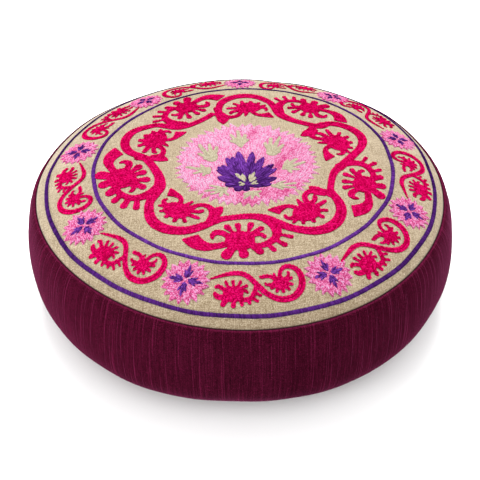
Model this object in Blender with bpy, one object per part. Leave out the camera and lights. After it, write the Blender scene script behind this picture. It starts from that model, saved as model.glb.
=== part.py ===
"""Round meditation cushion: a filled side band under an embroidered linen top, standing on a sewn base.

Metres, +Z up. The origin is the middle of the base, on the surface that the cushion stands on.
Three cut pieces are sewn together: the side band with its filling, the top panel and the base panel.
"""

import math
from typing import NamedTuple

import bmesh
import bpy

# Driving dimensions, in metres.
BELLY_RADIUS = 0.220  # widest part of the side band
BELLY_HEIGHT = 0.048
CROWN_HEIGHT = 0.135  # middle of the top above the floor
SEAM_RADIUS = 0.205  # seam between the top panel and the side band
SEAM_HEIGHT = 0.112
BASE_SEAM_RADIUS = 0.175  # seam between the side band and the base panel
PANEL_THICKNESS = 0.002  # linen with its backing, and the base cloth
GAP = 0.00035  # between pieces that touch, measured upright on the sloping crown

# How the curves swell: an exponent of 2 is an ellipse.
CROWN_POWER = 5.5
UPPER_SIDE_POWER = 1.75
LOWER_SIDE_POWER = 2.4

# Seams: both cloths turn down into a groove along the top seam.
SEAM_SINK = 0.0012
SEAM_TURN = 0.0035  # width over which the panel turns down
SEAM_TURN_STEPS = ((0.4, 0.3), (0.0, 1.0))  # share of that width still to go, share of the sink reached
ROLL_WIDTH = 0.0022  # folded edge of the side band beside the seam
ROLL_RISE = 0.0006
BASE_EDGE_ROUND = 0.002
LIP_HEIGHT = 0.0007  # side band above the floor beside the base panel
LIP_WIDTH = 0.0014

# Two rings of satin stitch stand up from the linen.
RING_HEIGHT = 0.0011
RING_HALF_WIDTH = 0.0018
RING_STEPS = (-1.0, -0.6, 0.0, 0.6, 1.0)  # across the ring's round section, in half widths
INNER_RING_RADIUS = 0.149
INNER_RING_SHIFT = 0.002  # the inner ring was sewn a little off the panel's middle, towards +X
OUTER_RING_RADIUS = 0.1955


class Lobe(NamedTuple):
    """One wave of an uneven outline: its count of lobes, its depth in metres and its phase in degrees."""

    count: int
    depth: float
    phase: float


# Hand sewing and filling leave the outlines slightly out of round.
SEAM_LOBES = (
    Lobe(2, 0.0013, 166.0),
    Lobe(3, 0.0012, 189.0),
    Lobe(4, 0.0009, 14.0),
)
BELLY_LOBES = (
    Lobe(1, 0.0024, 283.0),  # brings the middle of the belly back over the origin
    Lobe(2, 0.0014, 53.0),
    Lobe(3, 0.0024, 257.0),
)
CROWN_MIDDLE_Y = -0.0029  # the panel's middle lies this far from the belly's, along Y
WAVE_START_RADIUS = 0.150  # the crown is round inside this

SEGMENTS = 64
CROWN_ROWS = 11
UPPER_SIDE_ROWS = 9
LOWER_SIDE_ROWS = 7
SHARP_EDGE_DEGREES = 50.0
FLAT_TOLERANCE = 1e-9


class Row(NamedTuple):
    """One ring of points round the cushion."""

    radius: float
    height: float
    seam: float = 0.0  # share of the seam's lobes
    belly: float = 0.0  # share of the belly's lobes
    x: float = 0.0  # middle of the ring
    y: float = 0.0


def crown_height(radius):
    """Height of the linen's upper side: nearly flat in the middle, falling towards the seam."""
    drop = CROWN_HEIGHT - SEAM_HEIGHT
    return CROWN_HEIGHT - drop * (radius / SEAM_RADIUS) ** CROWN_POWER


def crown_wave(radius):
    """Share of the seam's lobes that reaches this radius of the crown."""
    share = (radius - WAVE_START_RADIUS) / (SEAM_RADIUS - WAVE_START_RADIUS)
    return min(max(share, 0.0), 1.0)


def crown_row(radius, lift=0.0, x=0.0):
    """A ring of the crown, raised or lowered by lift."""
    return Row(radius, crown_height(radius) + lift, seam=crown_wave(radius), x=x, y=CROWN_MIDDLE_Y)


def crown_rows(outermost, lift):
    """Evenly spread rings of the crown from the middle to a radius, the middle left out."""
    return [crown_row(outermost * (i + 1) / CROWN_ROWS, lift) for i in range(CROWN_ROWS)]


def ring_rows(radius, x=0.0):
    """The ridge of one satin-stitch ring, with a round section."""
    rows = []
    for step in RING_STEPS:
        rise = RING_HEIGHT * math.sqrt(1.0 - step * step)
        rows.append(crown_row(radius + step * RING_HALF_WIDTH, rise, x))
    return rows


def uneven(lobes, angle):
    """How far an outline leaves its circle at an angle round the cushion."""
    return sum(lobe.depth * math.cos(lobe.count * angle - math.radians(lobe.phase)) for lobe in lobes)


def row_points(row):
    """The points of one ring."""
    points = []
    for i in range(SEGMENTS):
        angle = math.tau * i / SEGMENTS
        radius = row.radius + row.seam * uneven(SEAM_LOBES, angle) + row.belly * uneven(BELLY_LOBES, angle)
        points.append((row.x + radius * math.cos(angle), row.y + radius * math.sin(angle), row.height))
    return points


def turned_solid(name, rows, bottom, top, material):
    """A closed solid from rings listed up its outside, each end closed at its height."""
    mesh = bmesh.new()
    rings = [[mesh.verts.new(point) for point in row_points(row)] for row in rows]
    for lower, upper in zip(rings, rings[1:]):
        for i in range(SEGMENTS):
            j = (i + 1) % SEGMENTS
            mesh.faces.new((lower[i], lower[j], upper[j], upper[i]))
    close_end(mesh, rings[0][::-1], rows[0], bottom)
    close_end(mesh, rings[-1], rows[-1], top)
    data = bpy.data.meshes.new(name)
    mesh.to_mesh(data)
    mesh.free()
    data.materials.append(material)
    data.shade_smooth()
    data.set_sharp_from_angle(angle=math.radians(SHARP_EDGE_DEGREES))
    solid = bpy.data.objects.new(name, data)
    bpy.context.scene.collection.objects.link(solid)
    return solid


def close_end(mesh, ring, row, height):
    """Closes a ring: with one flat face if it already lies at that height, and otherwise with a fan."""
    if abs(row.height - height) < FLAT_TOLERANCE:
        mesh.faces.new(ring)
        return
    middle = mesh.verts.new((row.x, row.y, height))
    for i, point in enumerate(ring):
        mesh.faces.new((point, ring[(i + 1) % SEGMENTS], middle))


def cloth_material(name, colour, roughness):
    """A plain cloth finish."""
    material = bpy.data.materials.new(name)
    material.use_nodes = True
    shader = material.node_tree.nodes["Principled BSDF"]
    shader.inputs["Base Color"].default_value = (*colour, 1.0)
    shader.inputs["Roughness"].default_value = roughness
    shader.inputs["Metallic"].default_value = 0.0
    material.diffuse_color = (*colour, 1.0)
    return material


def swell(share, power):
    """A quarter of a superellipse, from (1, 0) at share 0 to (0, 1) at share 1."""
    turn = math.pi / 2.0 * share
    return abs(math.cos(turn)) ** (2.0 / power), abs(math.sin(turn)) ** (2.0 / power)


def lower_side_rows():
    """The side band from its lip beside the base panel, close to the floor, out to the belly."""
    lip_radius = BASE_SEAM_RADIUS + LIP_WIDTH
    rows = [Row(BASE_SEAM_RADIUS + GAP, LIP_HEIGHT + GAP), Row(lip_radius, LIP_HEIGHT)]
    for i in range(1, LOWER_SIDE_ROWS + 1):
        out, down = swell(1.0 - i / LOWER_SIDE_ROWS, LOWER_SIDE_POWER)
        radius = lip_radius + (BELLY_RADIUS - lip_radius) * out
        rows.append(Row(radius, BELLY_HEIGHT - (BELLY_HEIGHT - LIP_HEIGHT) * down, belly=out))
    return rows


def upper_side_rows():
    """The side band from above the belly to its folded edge, which turns down into the seam."""
    roll_radius = SEAM_RADIUS + ROLL_WIDTH
    roll_height = SEAM_HEIGHT - ROLL_RISE
    rows = []
    for i in range(1, UPPER_SIDE_ROWS + 1):
        out, up = swell(i / UPPER_SIDE_ROWS, UPPER_SIDE_POWER)
        radius = roll_radius + (BELLY_RADIUS - roll_radius) * out
        height = BELLY_HEIGHT + (roll_height - BELLY_HEIGHT) * up
        share = up * up
        rows.append(Row(radius, height, seam=share, belly=1.0 - share, y=share * CROWN_MIDDLE_Y))
    groove_height = SEAM_HEIGHT - SEAM_SINK
    half_way = 0.5 * (roll_height + groove_height) + GAP
    rows.append(Row(SEAM_RADIUS + 0.5 * ROLL_WIDTH, half_way, seam=1.0, y=CROWN_MIDDLE_Y))
    rows.append(Row(SEAM_RADIUS + GAP, groove_height, seam=1.0, y=CROWN_MIDDLE_Y))
    return rows


def build_side_band(material):
    """The filled body: its outside is the side band, and the two panels lie on its ends."""
    floor_row = Row(BASE_SEAM_RADIUS + GAP, PANEL_THICKNESS + GAP)
    crown_lift = -(PANEL_THICKNESS + GAP)
    crown = crown_rows(SEAM_RADIUS + GAP, crown_lift)
    rows = [floor_row] + lower_side_rows() + upper_side_rows() + crown[::-1]
    top = crown_height(0.0) + crown_lift
    return turned_solid("side_band_filled", rows, floor_row.height, top, material)


def is_clear(row, rings):
    """Whether a plain row of the crown lies clear of the stitched rings."""
    clear = RING_HALF_WIDTH + INNER_RING_SHIFT
    middles = [ring[len(ring) // 2].radius for ring in rings]
    return all(abs(row.radius - middle) > clear for middle in middles)


def build_top_panel(material):
    """The linen disc over the crown, with its two raised rings and its edge turned down into the seam."""
    under = crown_rows(SEAM_RADIUS, -PANEL_THICKNESS)
    rings = [ring_rows(INNER_RING_RADIUS, INNER_RING_SHIFT), ring_rows(OUTER_RING_RADIUS)]
    plain = [row for row in crown_rows(SEAM_RADIUS - SEAM_TURN, 0.0) if is_clear(row, rings)]
    edge = [crown_row(SEAM_RADIUS - left * SEAM_TURN, -sunk * SEAM_SINK) for left, sunk in SEAM_TURN_STEPS]
    upper = sorted(plain + rings[0] + rings[1] + edge, key=lambda row: row.radius)
    bottom = crown_height(0.0) - PANEL_THICKNESS
    return turned_solid("top_panel", under + upper[::-1], bottom, crown_height(0.0), material)


def build_base_panel(material):
    """The flat disc that the cushion rests on, its lower edge slightly rounded."""
    rows = [
        Row(BASE_SEAM_RADIUS - BASE_EDGE_ROUND, 0.0),
        Row(BASE_SEAM_RADIUS, 0.5 * BASE_EDGE_ROUND),
        Row(BASE_SEAM_RADIUS, PANEL_THICKNESS),
    ]
    return turned_solid("base_panel", rows, 0.0, PANEL_THICKNESS, material)


def main():
    """Builds the cushion in an empty scene."""
    for old in list(bpy.data.objects):
        bpy.data.objects.remove(old)
    plum = cloth_material("plum_cloth", (0.095, 0.008, 0.037), 0.75)
    linen = cloth_material("linen", (0.60, 0.49, 0.33), 0.9)
    build_side_band(plum)
    build_top_panel(linen)
    build_base_panel(plum)


main()
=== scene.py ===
"""Looks of the round meditation cushion: cloth, embroidery, light and camera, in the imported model's frame.

The crown's embroidery is laid out on a flat plan in millimetres. Its origin is the crown's middle, +X is to
the right and +Y points away from the camera. Each thread colour has a cover, a map of where it hides the
linen, and stitches are laid over the covers one by one. Everything else is in metres.
"""

import math
from collections import namedtuple

import bpy
import numpy as np
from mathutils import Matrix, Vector
from mathutils.kdtree import KDTree


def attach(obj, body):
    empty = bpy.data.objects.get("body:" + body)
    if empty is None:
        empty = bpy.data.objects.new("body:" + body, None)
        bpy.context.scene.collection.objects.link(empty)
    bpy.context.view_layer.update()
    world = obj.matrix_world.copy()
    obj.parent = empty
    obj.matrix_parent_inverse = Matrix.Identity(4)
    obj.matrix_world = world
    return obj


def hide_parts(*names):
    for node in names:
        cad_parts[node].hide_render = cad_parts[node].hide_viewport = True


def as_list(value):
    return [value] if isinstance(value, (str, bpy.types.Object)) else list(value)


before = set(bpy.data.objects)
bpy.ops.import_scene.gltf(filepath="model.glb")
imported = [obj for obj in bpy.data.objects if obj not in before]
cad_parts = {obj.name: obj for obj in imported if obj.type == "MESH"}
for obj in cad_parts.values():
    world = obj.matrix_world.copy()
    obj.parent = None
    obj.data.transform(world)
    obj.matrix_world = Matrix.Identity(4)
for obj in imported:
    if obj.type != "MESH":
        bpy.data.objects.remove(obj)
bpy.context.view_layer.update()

MM = 0.001

# Shape of the cushion, the same values as in its solids, in metres.
BELLY_RADIUS = 0.220
BELLY_HEIGHT = 0.048
CROWN_HEIGHT = 0.135
SEAM_RADIUS = 0.205
SEAM_HEIGHT = 0.112
BASE_SEAM_RADIUS = 0.175
PANEL_THICKNESS = 0.002
GAP = 0.00035
CROWN_POWER = 5.5
UPPER_SIDE_POWER = 1.75
LOWER_SIDE_POWER = 2.4
SEAM_SINK = 0.0009
SEAM_TURN = 0.0035
ROLL_WIDTH = 0.0016
ROLL_RISE = 0.0006
GROOVE_DEPTH = 0.0011
LIP_HEIGHT = 0.0007
LIP_WIDTH = 0.0014
WAVE_START_RADIUS = 0.150
CROWN_MIDDLE_Y = -0.0029
SEAM_LOBES = ((2, 0.0013, 166.0), (3, 0.0012, 189.0), (4, 0.0009, 14.0))  # count, depth, phase in degrees
BELLY_LOBES = ((1, 0.0024, 283.0), (2, 0.0014, 53.0), (3, 0.0024, 257.0))

# The filling lifts the crown's edge in some places and has sunk in others, and it pushes the side out
# unevenly. Each row holds an angle in degrees, an amount in metres and a reach in degrees.
EDGE_SWELLS = ((35.0, 0.0022, 13.0), (149.0, 0.0021, 15.0), (92.0, -0.0009, 20.0), (77.0, -0.0022, 6.0))
EDGE_SWELL_START = 0.160  # radius
EDGE_SWELL_POWER = 1.8
SIDE_SWELLS = (
    (219.0, -0.0012, 7.0), (235.0, 0.0019, 10.0), (249.0, 0.0019, 8.0), (270.0, -0.0012, 7.0),
    (287.0, 0.0016, 8.0), (299.0, 0.0009, 11.0),
)

# ---- The plan of the embroidery, in millimetres.

GRID_STEP = 0.8
GRID_REACH = 206.0
GRID_COUNT = int(2 * GRID_REACH / GRID_STEP) + 1
LAST_NODE = GRID_COUNT - 1.001  # just inside the grid's last node
FAR = 50.0
MARGIN = 4.0  # how far outside a shape its distance is kept
ELLIPSE_STEPS = 40
WAIST = 0.35  # where a finger's half width is at its middle, from its neck's to its head's


def through(a, b, c, d, t):
    """A smooth curve through places that follow each other, at a share t of its way from b to c."""
    bend = (2 * a - 5 * b + 4 * c - d) * t * t + (3 * b - a - 3 * c + d) * t**3
    return 0.5 * (2 * b + (c - a) * t + bend)


def smooth(points, steps=5):
    """A smooth curve through points. Columns after x and y, such as the half width, are carried along."""
    points = np.array(points, float)
    ends = np.vstack([2 * points[0] - points[1], points, 2 * points[-1] - points[-2]])
    curve = []
    for four in zip(ends, ends[1:], ends[2:], ends[3:]):
        curve += [through(*four, k / steps) for k in range(steps)]
    return np.array([*curve, points[-1]])


def turned(x, y, angle):
    """A place turned round the origin by an angle in radians."""
    return x * math.cos(angle) - y * math.sin(angle), x * math.sin(angle) + y * math.cos(angle)


def placed(points, place):
    """From a motif's own axes (u clockwise round the crown, v outward) to the plan.

    A place is an angle, a radius, the motif's own turn in degrees and its size. Half widths grow with it.
    """
    angle, radius, turn, size = place
    angle = math.radians(angle)
    out = np.array(points, float)
    u, v = (size * part for part in turned(out[:, 0], out[:, 1], math.radians(turn)))
    out[:, 0] = (radius + v) * math.cos(angle) + u * math.sin(angle)
    out[:, 1] = (radius + v) * math.sin(angle) - u * math.cos(angle)
    out[:, 2:] *= size
    return out


def on_grid(place):
    """Where a place on the plan falls, counted in the grid's nodes."""
    return (place + GRID_REACH) / GRID_STEP


def on_plan(node):
    return node * GRID_STEP - GRID_REACH


class Cover:
    """Where one thread hides the linen: a signed distance on a square grid, negative inside."""

    def __init__(self, field=None):
        self.field = np.full((GRID_COUNT, GRID_COUNT), FAR) if field is None else field

    def window(self, points, margin):
        """The part of the grid round some points, with the places of its nodes."""
        low = np.clip(np.floor(on_grid(points.min(axis=0) - margin)), 0, GRID_COUNT).astype(int)
        high = np.clip(np.ceil(on_grid(points.max(axis=0) + margin)) + 1, 0, GRID_COUNT).astype(int)
        x, y = (on_plan(np.arange(*ends)) for ends in zip(low, high))
        return ((slice(low[1], high[1]), slice(low[0], high[0])), *np.meshgrid(x, y))

    def add(self, part, distance):
        self.field[part] = np.minimum(self.field[part], distance)

    def stroke(self, path):
        """A rounded stroke along a path of (x, y, half width)."""
        for (ax, ay, ar), (bx, by, br) in zip(path, path[1:]):
            part, x, y = self.window(np.array([[ax, ay], [bx, by]]), max(ar, br) + MARGIN)
            along, near = nearest_on_line(x, y, ax, ay, bx, by)
            self.add(part, near - (ar + along * (br - ar)))

    def polygon(self, points):
        """A filled outline with sharp corners."""
        points = np.array(points, float)[:, :2]
        part, x, y = self.window(points, MARGIN)
        inside = np.zeros(x.shape, bool)
        near = np.full(x.shape, FAR)
        for (ax, ay), (bx, by) in zip(points, np.roll(points, -1, axis=0)):
            near = np.minimum(near, nearest_on_line(x, y, ax, ay, bx, by)[1])
            if ay != by:
                inside ^= ((ay > y) != (by > y)) & (x < (bx - ax) * (y - ay) / (by - ay) + ax)
        self.add(part, np.where(inside, -near, near))

    def ellipse(self, middle, size, place):
        turn = np.linspace(0.0, math.tau, ELLIPSE_STEPS, endpoint=False)
        outline = [(middle[0] + size[0] * math.cos(a), middle[1] + size[1] * math.sin(a)) for a in turn]
        self.polygon(placed(outline, place))

    def at(self, x, y):
        """The field's value at any places of the plan."""
        i, j = (np.clip(on_grid(np.asarray(place)), 0, LAST_NODE) for place in (x, y))
        i0 = i.astype(int)
        j0 = j.astype(int)
        fi = i - i0
        fj = j - j0
        f = self.field
        low = f[j0, i0] * (1 - fi) + f[j0, i0 + 1] * fi
        high = f[j0 + 1, i0] * (1 - fi) + f[j0 + 1, i0 + 1] * fi
        return low * (1 - fj) + high * fj


def nearest_on_line(x, y, ax, ay, bx, by):
    """How far along a straight line the nearest point lies, from 0 to 1, and how far away it is."""
    dx = bx - ax
    dy = by - ay
    along = np.clip(((x - ax) * dx + (y - ay) * dy) / max(dx * dx + dy * dy, 1e-9), 0.0, 1.0)
    return along, np.hypot(x - ax - along * dx, y - ay - along * dy)


def finger(cover, root, tip, neck, head, place):
    """A finger that swells from its neck to a round head."""
    middle = (0.5 * (root[0] + tip[0]), 0.5 * (root[1] + tip[1]), neck + WAIST * (head - neck))
    path = smooth([(*root, neck), middle, (*tip, head)], 3)
    cover.stroke(placed(path, place))


# The wreath: five large palmettes outside its wavy stem and five inside. Each place is an angle, a radius,
# the motif's own turn in degrees and its size. The stem's arcs round the palmettes, and the spurs on it,
# have places of their own, because the needlework wasn't laid out by rule.
OUTER_PLACES = (
    (-88.8, 120.0, 0.2, 1.02),
    (-18.2, 121.8, 3.5, 1.015),
    (53.9, 122.7, 1.3, 0.98),
    (122.7, 113.1, 4.6, 1.02),
    (197.8, 116.0, 0.4, 1.12),
)
INNER_PLACES = (
    (-53.9, 103.6, 2.0, 1.065),
    (17.2, 103.4, 0.5, 1.11),
    (86.3, 98.8, 7.0, 1.045),
    (160.9, 95.3, -5.0, 1.05),
    (236.3, 101.0, 0.6, 1.01),
)
OUTER_ARCS = (
    (-90.0, 120.1, 3.0, 0.985),
    (-21.3, 120.6, 3.1, 0.95),
    (49.4, 122.9, 10.3, 1.105),
    (124.6, 109.0, 2.2, 0.965),
    (195.7, 119.2, 6.1, 1.195),
)
INNER_ARCS = (
    (-52.9, 104.5, 9.2, 1.015),
    (20.3, 107.5, 13.6, 0.985),
    (87.0, 101.9, 14.5, 0.965),
    (160.7, 100.9, 5.6, 0.955),
    (236.1, 100.7, 6.3, 1.01),
)
OUTER_BOLD = (0.0, 0.0, 0.0, 0.0, 0.75)  # how much fuller each palmette is, in half widths
INNER_BOLD = (0.0, 0.0, 0.0, 0.55, 0.0)
SPUR_PLACES = (
    (-56.5, 107.0, 8.5, 1.085),
    (12.6, 109.8, 16.6, 1.22),
    (78.6, 97.4, 10.9, 1.28),
    (155.0, 89.6, -4.1, 1.12),
    (233.4, 98.0, -3.8, 1.075),
)
# One arc of the stem outside and one inside, clockwise side first. Here and in all strokes below, each row
# is u, v and half width.
OUTER_STEM = (
    (20, -23.6, 3.8), (10, -26, 3.6), (0, -27.2, 3.7), (-10, -27.5, 4.0), (-18, -26, 4.6),
    (-26, -22.6, 5.0),
)
INNER_STEM = (
    (31, 0.5, 4.3), (26.5, 10, 4.5), (19, 19.4, 4.9), (9.5, 25.2, 5.2), (0, 26.6, 5.3), (-9.5, 25.3, 5.2),
    (-20, 20, 5.0), (-28, 11, 4.6),
)
# The ring of the wreath was left open: the stem starts with a taper and ends in a downward point.
STEM_TAPER = ((23.2, -21.6, 1.0), (21.6, -22.6, 3.0))
STEM_END = ((-32, -2, 3.9), (-33.4, -15, 4.8), (-31, -29, 1.4))
STEM_ORDER = (3, 4, 0, 1, 2)  # anticlockwise from the opening

OUTER_BODY = ((3.5, 4.0), (13.0, 11.5))  # middle and size
OUTER_FINGERS = (  # root, tip, and the half widths of neck and head, as in all fingers below
    ((7, 8), (15.2, 20.3), 3.4, 4.9),
    ((3, 8), (0.6, 20.0), 2.8, 4.4),
    ((-5, 9), (-13.0, 17.0), 2.4, 3.6),
    ((-19, 8), (-24.8, 15.3), 1.8, 2.5),
    ((-26, 3), (-34.5, 9.4), 1.8, 2.6),
    ((-30, -3), (-40.5, 0.0), 1.6, 2.3),
    ((-6, -4), (-15.3, -10.5), 1.7, 2.8),
    ((-4, -7), (-6.3, -15.6), 1.5, 3.2),
    ((4, -6), (5.0, -14.9), 1.5, 3.1),
    ((9, -5), (14.3, -13.0), 1.3, 3.2),
)
OUTER_STROKES = (
    ((-6, 10, 3.0), (-14, 10.3, 3.0), (-21, 7, 3.2), (-27, 1, 3.6), (-28.5, -7, 4.4),
        (-26, -16, 5.0), (-18, -24, 4.0)),
    ((-6, -1.5, 2.4), (-13, -3.5, 2.3), (-17.3, -1.0, 2.0), (-17.6, 0.3, 1.7)),
    ((12, 0.5, 2.5), (18, -5.0, 3.2), (23.5, -6.3, 3.3), (27, -3.0, 2.4), (27, 0.6, 1.5)),
    ((12, 7, 3.0), (20, 9.4, 3.4), (27, 10.6, 3.6)),
)
OUTER_BLADE_TOP = ((24, 13.9), (32, 15.2), (40, 13.6), (47, 9.0), (53.7, 0.6))
OUTER_BLADE_BACK = ((39, -4.5), (36.6, 0.2), (32, 5.0), (26, 7.3))

INNER_BODY = ((2.5, 1.0), (13.5, 10.5))
INNER_FINGERS = (
    ((-7, 0.5), (-20.3, -0.3), 2.4, 1.9),
    ((-7, 5), (-12.8, 9.4), 1.8, 2.0),
    ((-3, 7), (-4.4, 13.6), 1.9, 2.2),
    ((4, 7), (5.2, 13.0), 1.9, 2.2),
    ((9, 5), (14.0, 9.6), 1.8, 1.8),
    ((13, 2), (20.0, 4.2), 1.9, 1.5),
)
INNER_STROKES = (
    ((13, 0, 2.6), (18.5, -0.8, 2.4), (21.0, -4.0, 1.9), (20.0, -7.0, 1.4)),
    ((-5, -4.5, 2.5), (-12, -6, 2.4), (-17, -9.0, 2.2), (-17.4, -11.0, 1.8)),
    ((-6, -7, 3.0), (-8.5, -13, 2.6), (-12, -17, 2.6), (-18, -18.5, 2.9), (-24.5, -16, 3.4),
        (-29.5, -9.5, 3.8), (-32, 0, 3.8)),
    ((-0.5, -8, 2.8), (-1.5, -13, 2.0), (-2.6, -16.5, 1.2)),
    ((5, -7, 2.6), (8, -13, 2.4), (13, -16.2, 2.6), (18, -16.5, 3.2)),
)
INNER_SPUR = (
    (-36.5, -12.5), (-34.5, -20), (-30, -25.5), (-27.6, -23.5), (-25.5, -19), (-24, -14), (-30, -6),
)
INNER_BLADE = ((12, -13.6), (18, -12.8), (23, -10.6), (27.8, -22.2), (21, -21.2), (14, -19.2))


def thinned(shapes, amount):
    """Fingers or strokes with their half widths less by an amount."""
    if isinstance(shapes[0][-1], tuple):
        return [[(x, y, half - amount) for x, y, half in path] for path in shapes]
    return [(root, tip, neck - amount, head - amount) for root, tip, neck, head in shapes]


def palmette(cover, place, body, fingers, strokes, bold=0.0):
    """A scalloped palmette: a round body with fingers and curled hooks, fuller or, below zero, finer."""
    middle, size = body
    cover.ellipse(middle, (size[0] + 2.0 * bold, size[1] + 2.0 * bold), place)
    for root, tip, neck, head in thinned(fingers, -bold):
        finger(cover, root, tip, neck, head, place)
    for stroke in strokes:
        cover.stroke(placed(smooth(stroke, 4), place))


def wreath(cover):
    """The stem and its ten palmettes."""
    stem = [placed(STEM_TAPER, OUTER_ARCS[STEM_ORDER[0]])]
    for i in STEM_ORDER:
        stem.append(placed(OUTER_STEM, OUTER_ARCS[i]))
        stem.append(placed(INNER_STEM, INNER_ARCS[i]))
    stem.append(placed(STEM_END, INNER_ARCS[STEM_ORDER[-1]]))
    cover.stroke(smooth(np.vstack(stem)))
    blade = np.vstack([smooth(OUTER_BLADE_TOP, 4), smooth(OUTER_BLADE_BACK, 4)])
    for place, bold in zip(OUTER_PLACES, OUTER_BOLD):
        palmette(cover, place, OUTER_BODY, OUTER_FINGERS, OUTER_STROKES, bold)
        cover.polygon(placed(blade, place))
    for place, spur_place, bold in zip(INNER_PLACES, SPUR_PLACES, INNER_BOLD):
        palmette(cover, place, INNER_BODY, INNER_FINGERS, INNER_STROKES, bold)
        cover.polygon(placed(INNER_SPUR, spur_place))
        cover.polygon(placed(INNER_BLADE, place))


# The border: nine florets with nine scrolls between them.
FLORET_PLACES = (  # angle, radius, size and the size of its leaves
    (-105.5, 172.4, 1.03, 0.81),
    (-65.0, 173.8, 1.02, 0.78),
    (-25.6, 173.9, 0.99, 0.79),
    (16.0, 174.6, 1.00, 0.72),
    (52.2, 176.0, 0.98, 0.67),
    (90.4, 169.4, 0.98, 0.66),
    (131.2, 166.6, 0.98, 0.70),
    (172.7, 169.6, 1.03, 0.79),
    (214.1, 171.6, 1.04, 0.79),
)
SCROLL_PLACES = (
    (275.0, 173.0, -0.1, 1.013),
    (314.3, 173.3, 0.8, 1.035),
    (354.8, 172.3, 1.2, 1.018),
    (35.9, 177.6, -4.0, 0.965),
    (70.7, 170.3, 9.4, 0.915),
    (110.2, 167.3, 3.9, 1.02),
    (150.8, 167.2, -2.9, 1.05),
    (194.0, 169.3, -1.1, 1.002),
    (234.6, 170.6, -0.2, 0.993),
)
SCROLL_STEM = (
    (40, -10, 0.8), (33, -11.6, 1.3), (26.7, -12.7, 1.8), (20, -13.6, 2.2), (13.3, -12.5, 2.3),
    (8.3, -9.2, 2.3), (4.6, -4.6, 2.3), (0.4, 0.8, 2.3), (-3.6, 5.4, 2.3), (-8, 9.0, 2.4),
    (-12.8, 11.5, 2.5), (-18.5, 12.4, 2.5), (-25, 11.3, 2.6), (-30.2, 7.9, 2.8), (-34.1, 2.5, 2.9),
    (-35.4, -3.5, 2.9), (-34.5, -10, 2.7), (-31.4, -14.8, 2.4), (-26.7, -17.3, 2.3), (-22.5, -17.0, 2.1),
    (-19.2, -14.0, 1.8), (-17.7, -10, 1.7), (-17.5, -6, 2.0),
)
SCROLL_LEFT_BODY = ((-17.7, -1.7), (6.6, 6.0))
SCROLL_LEFT_FINGERS = (
    ((-20, -1), (-26.8, -0.4), 1.5, 1.4),
    ((-20, -3), (-27.0, -6.2), 1.4, 1.4),
    ((-19, 0), (-23.9, 4.2), 1.5, 1.4),
    ((-18, 1), (-18.9, 5.8), 1.6, 1.6),
    ((-16, 1), (-13.6, 5.2), 1.5, 1.5),
    ((-15, -1), (-9.6, 2.4), 1.5, 1.4),
)
SCROLL_LEFT_STROKES = (
    ((-14, -1.5, 1.6), (-8.5, -0.5, 1.5), (-5.3, -1.0, 1.1), (-4.8, -2.6, 0.8)),
    ((-15, -3.5, 1.8), (-11, -7.5, 1.7), (-6.5, -8.6, 1.8), (-2.6, -8.0, 1.7), (-0.8, -8.9, 0.6)),
    ((-15.5, -5, 1.4), (-13.2, -8.5, 1.1), (-12.9, -11.0, 1.0)),
    ((-20, -4, 1.5), (-23.5, -7.0, 1.4), (-25.2, -10.2, 1.3), (-24.4, -12.2, 1.1)),
)
SCROLL_RIGHT_BODY = ((22.0, 5.2), (8.5, 7.0))
SCROLL_RIGHT_FINGERS = (
    ((8, 9), (2.9, 12.9), 1.2, 1.4),
    ((11, 10), (9.2, 14.0), 1.3, 1.5),
    ((17, 9), (15.5, 14.8), 1.4, 1.6),
    ((21, 9), (22.5, 14.8), 1.6, 2.1),
    ((26, 8), (30.6, 12.6), 1.8, 2.4),
    ((4, 6), (-0.2, 8.2), 1.2, 1.2),
    ((17, 1), (10.3, -0.8), 1.1, 1.4),
    ((18, 0), (15.0, -4.9), 1.1, 1.5),
    ((21, 0), (21.2, -6.0), 1.1, 1.5),
    ((25, 1), (27.0, -6.0), 1.1, 1.5),
)
SCROLL_RIGHT_STROKES = (
    ((18, 3.0, 1.6), (13.0, 3.0, 1.4), (10.6, 4.2, 1.2), (10.2, 5.2, 1.0)),
    ((27, 2.6, 1.9), (30.4, -0.6, 1.8), (33.4, -2.8, 1.8), (35.2, -2.2, 1.5)),
    ((2.6, 0.0, 2.0), (4.6, 5.0, 1.9), (7.5, 9.6, 1.9), (11.7, 11.2, 1.8), (17.5, 9.6, 2.4)),
    ((27, 7, 2.2), (31.5, 7.2, 2.3), (35.2, 5.6, 2.2), (36.6, 3.4, 1.8)),
)
FLORET_POINTS = 17
FLORET_TIP = 21.2
FLORET_NOTCH = 15.8
FLORET_ROUGH = 1.3
PRONG_HALF = (  # along and across, from the base round one side prong to the tip
    (0, 0.0), (1.0, 1.3), (3.2, 3.2), (7.0, 4.4), (13.2, 6.2), (10.2, 3.1), (9.0, 1.9), (12.8, 2.1),
    (18.4, 0.0),
)
PRONG_START = 1.2
SCROLL_FINER = 0.35  # how much finer the scrolls at the very back are, in half widths


def scrolls(cover):
    """The S-scrolls of the border, with a small palmette in either loop. Those at the back are finer."""
    for place in SCROLL_PLACES:
        fine = SCROLL_FINER * max(0.0, math.sin(math.radians(place[0]))) ** 2
        for body, fingers, strokes in (
            (SCROLL_LEFT_BODY, SCROLL_LEFT_FINGERS, (SCROLL_STEM, *SCROLL_LEFT_STROKES)),
            (SCROLL_RIGHT_BODY, SCROLL_RIGHT_FINGERS, SCROLL_RIGHT_STROKES),
        ):
            palmette(cover, place, body, fingers, thinned(strokes, fine), -fine)


def polar(middle, angle, radius):
    return (middle[0] + radius * math.cos(angle), middle[1] + radius * math.sin(angle))


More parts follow.
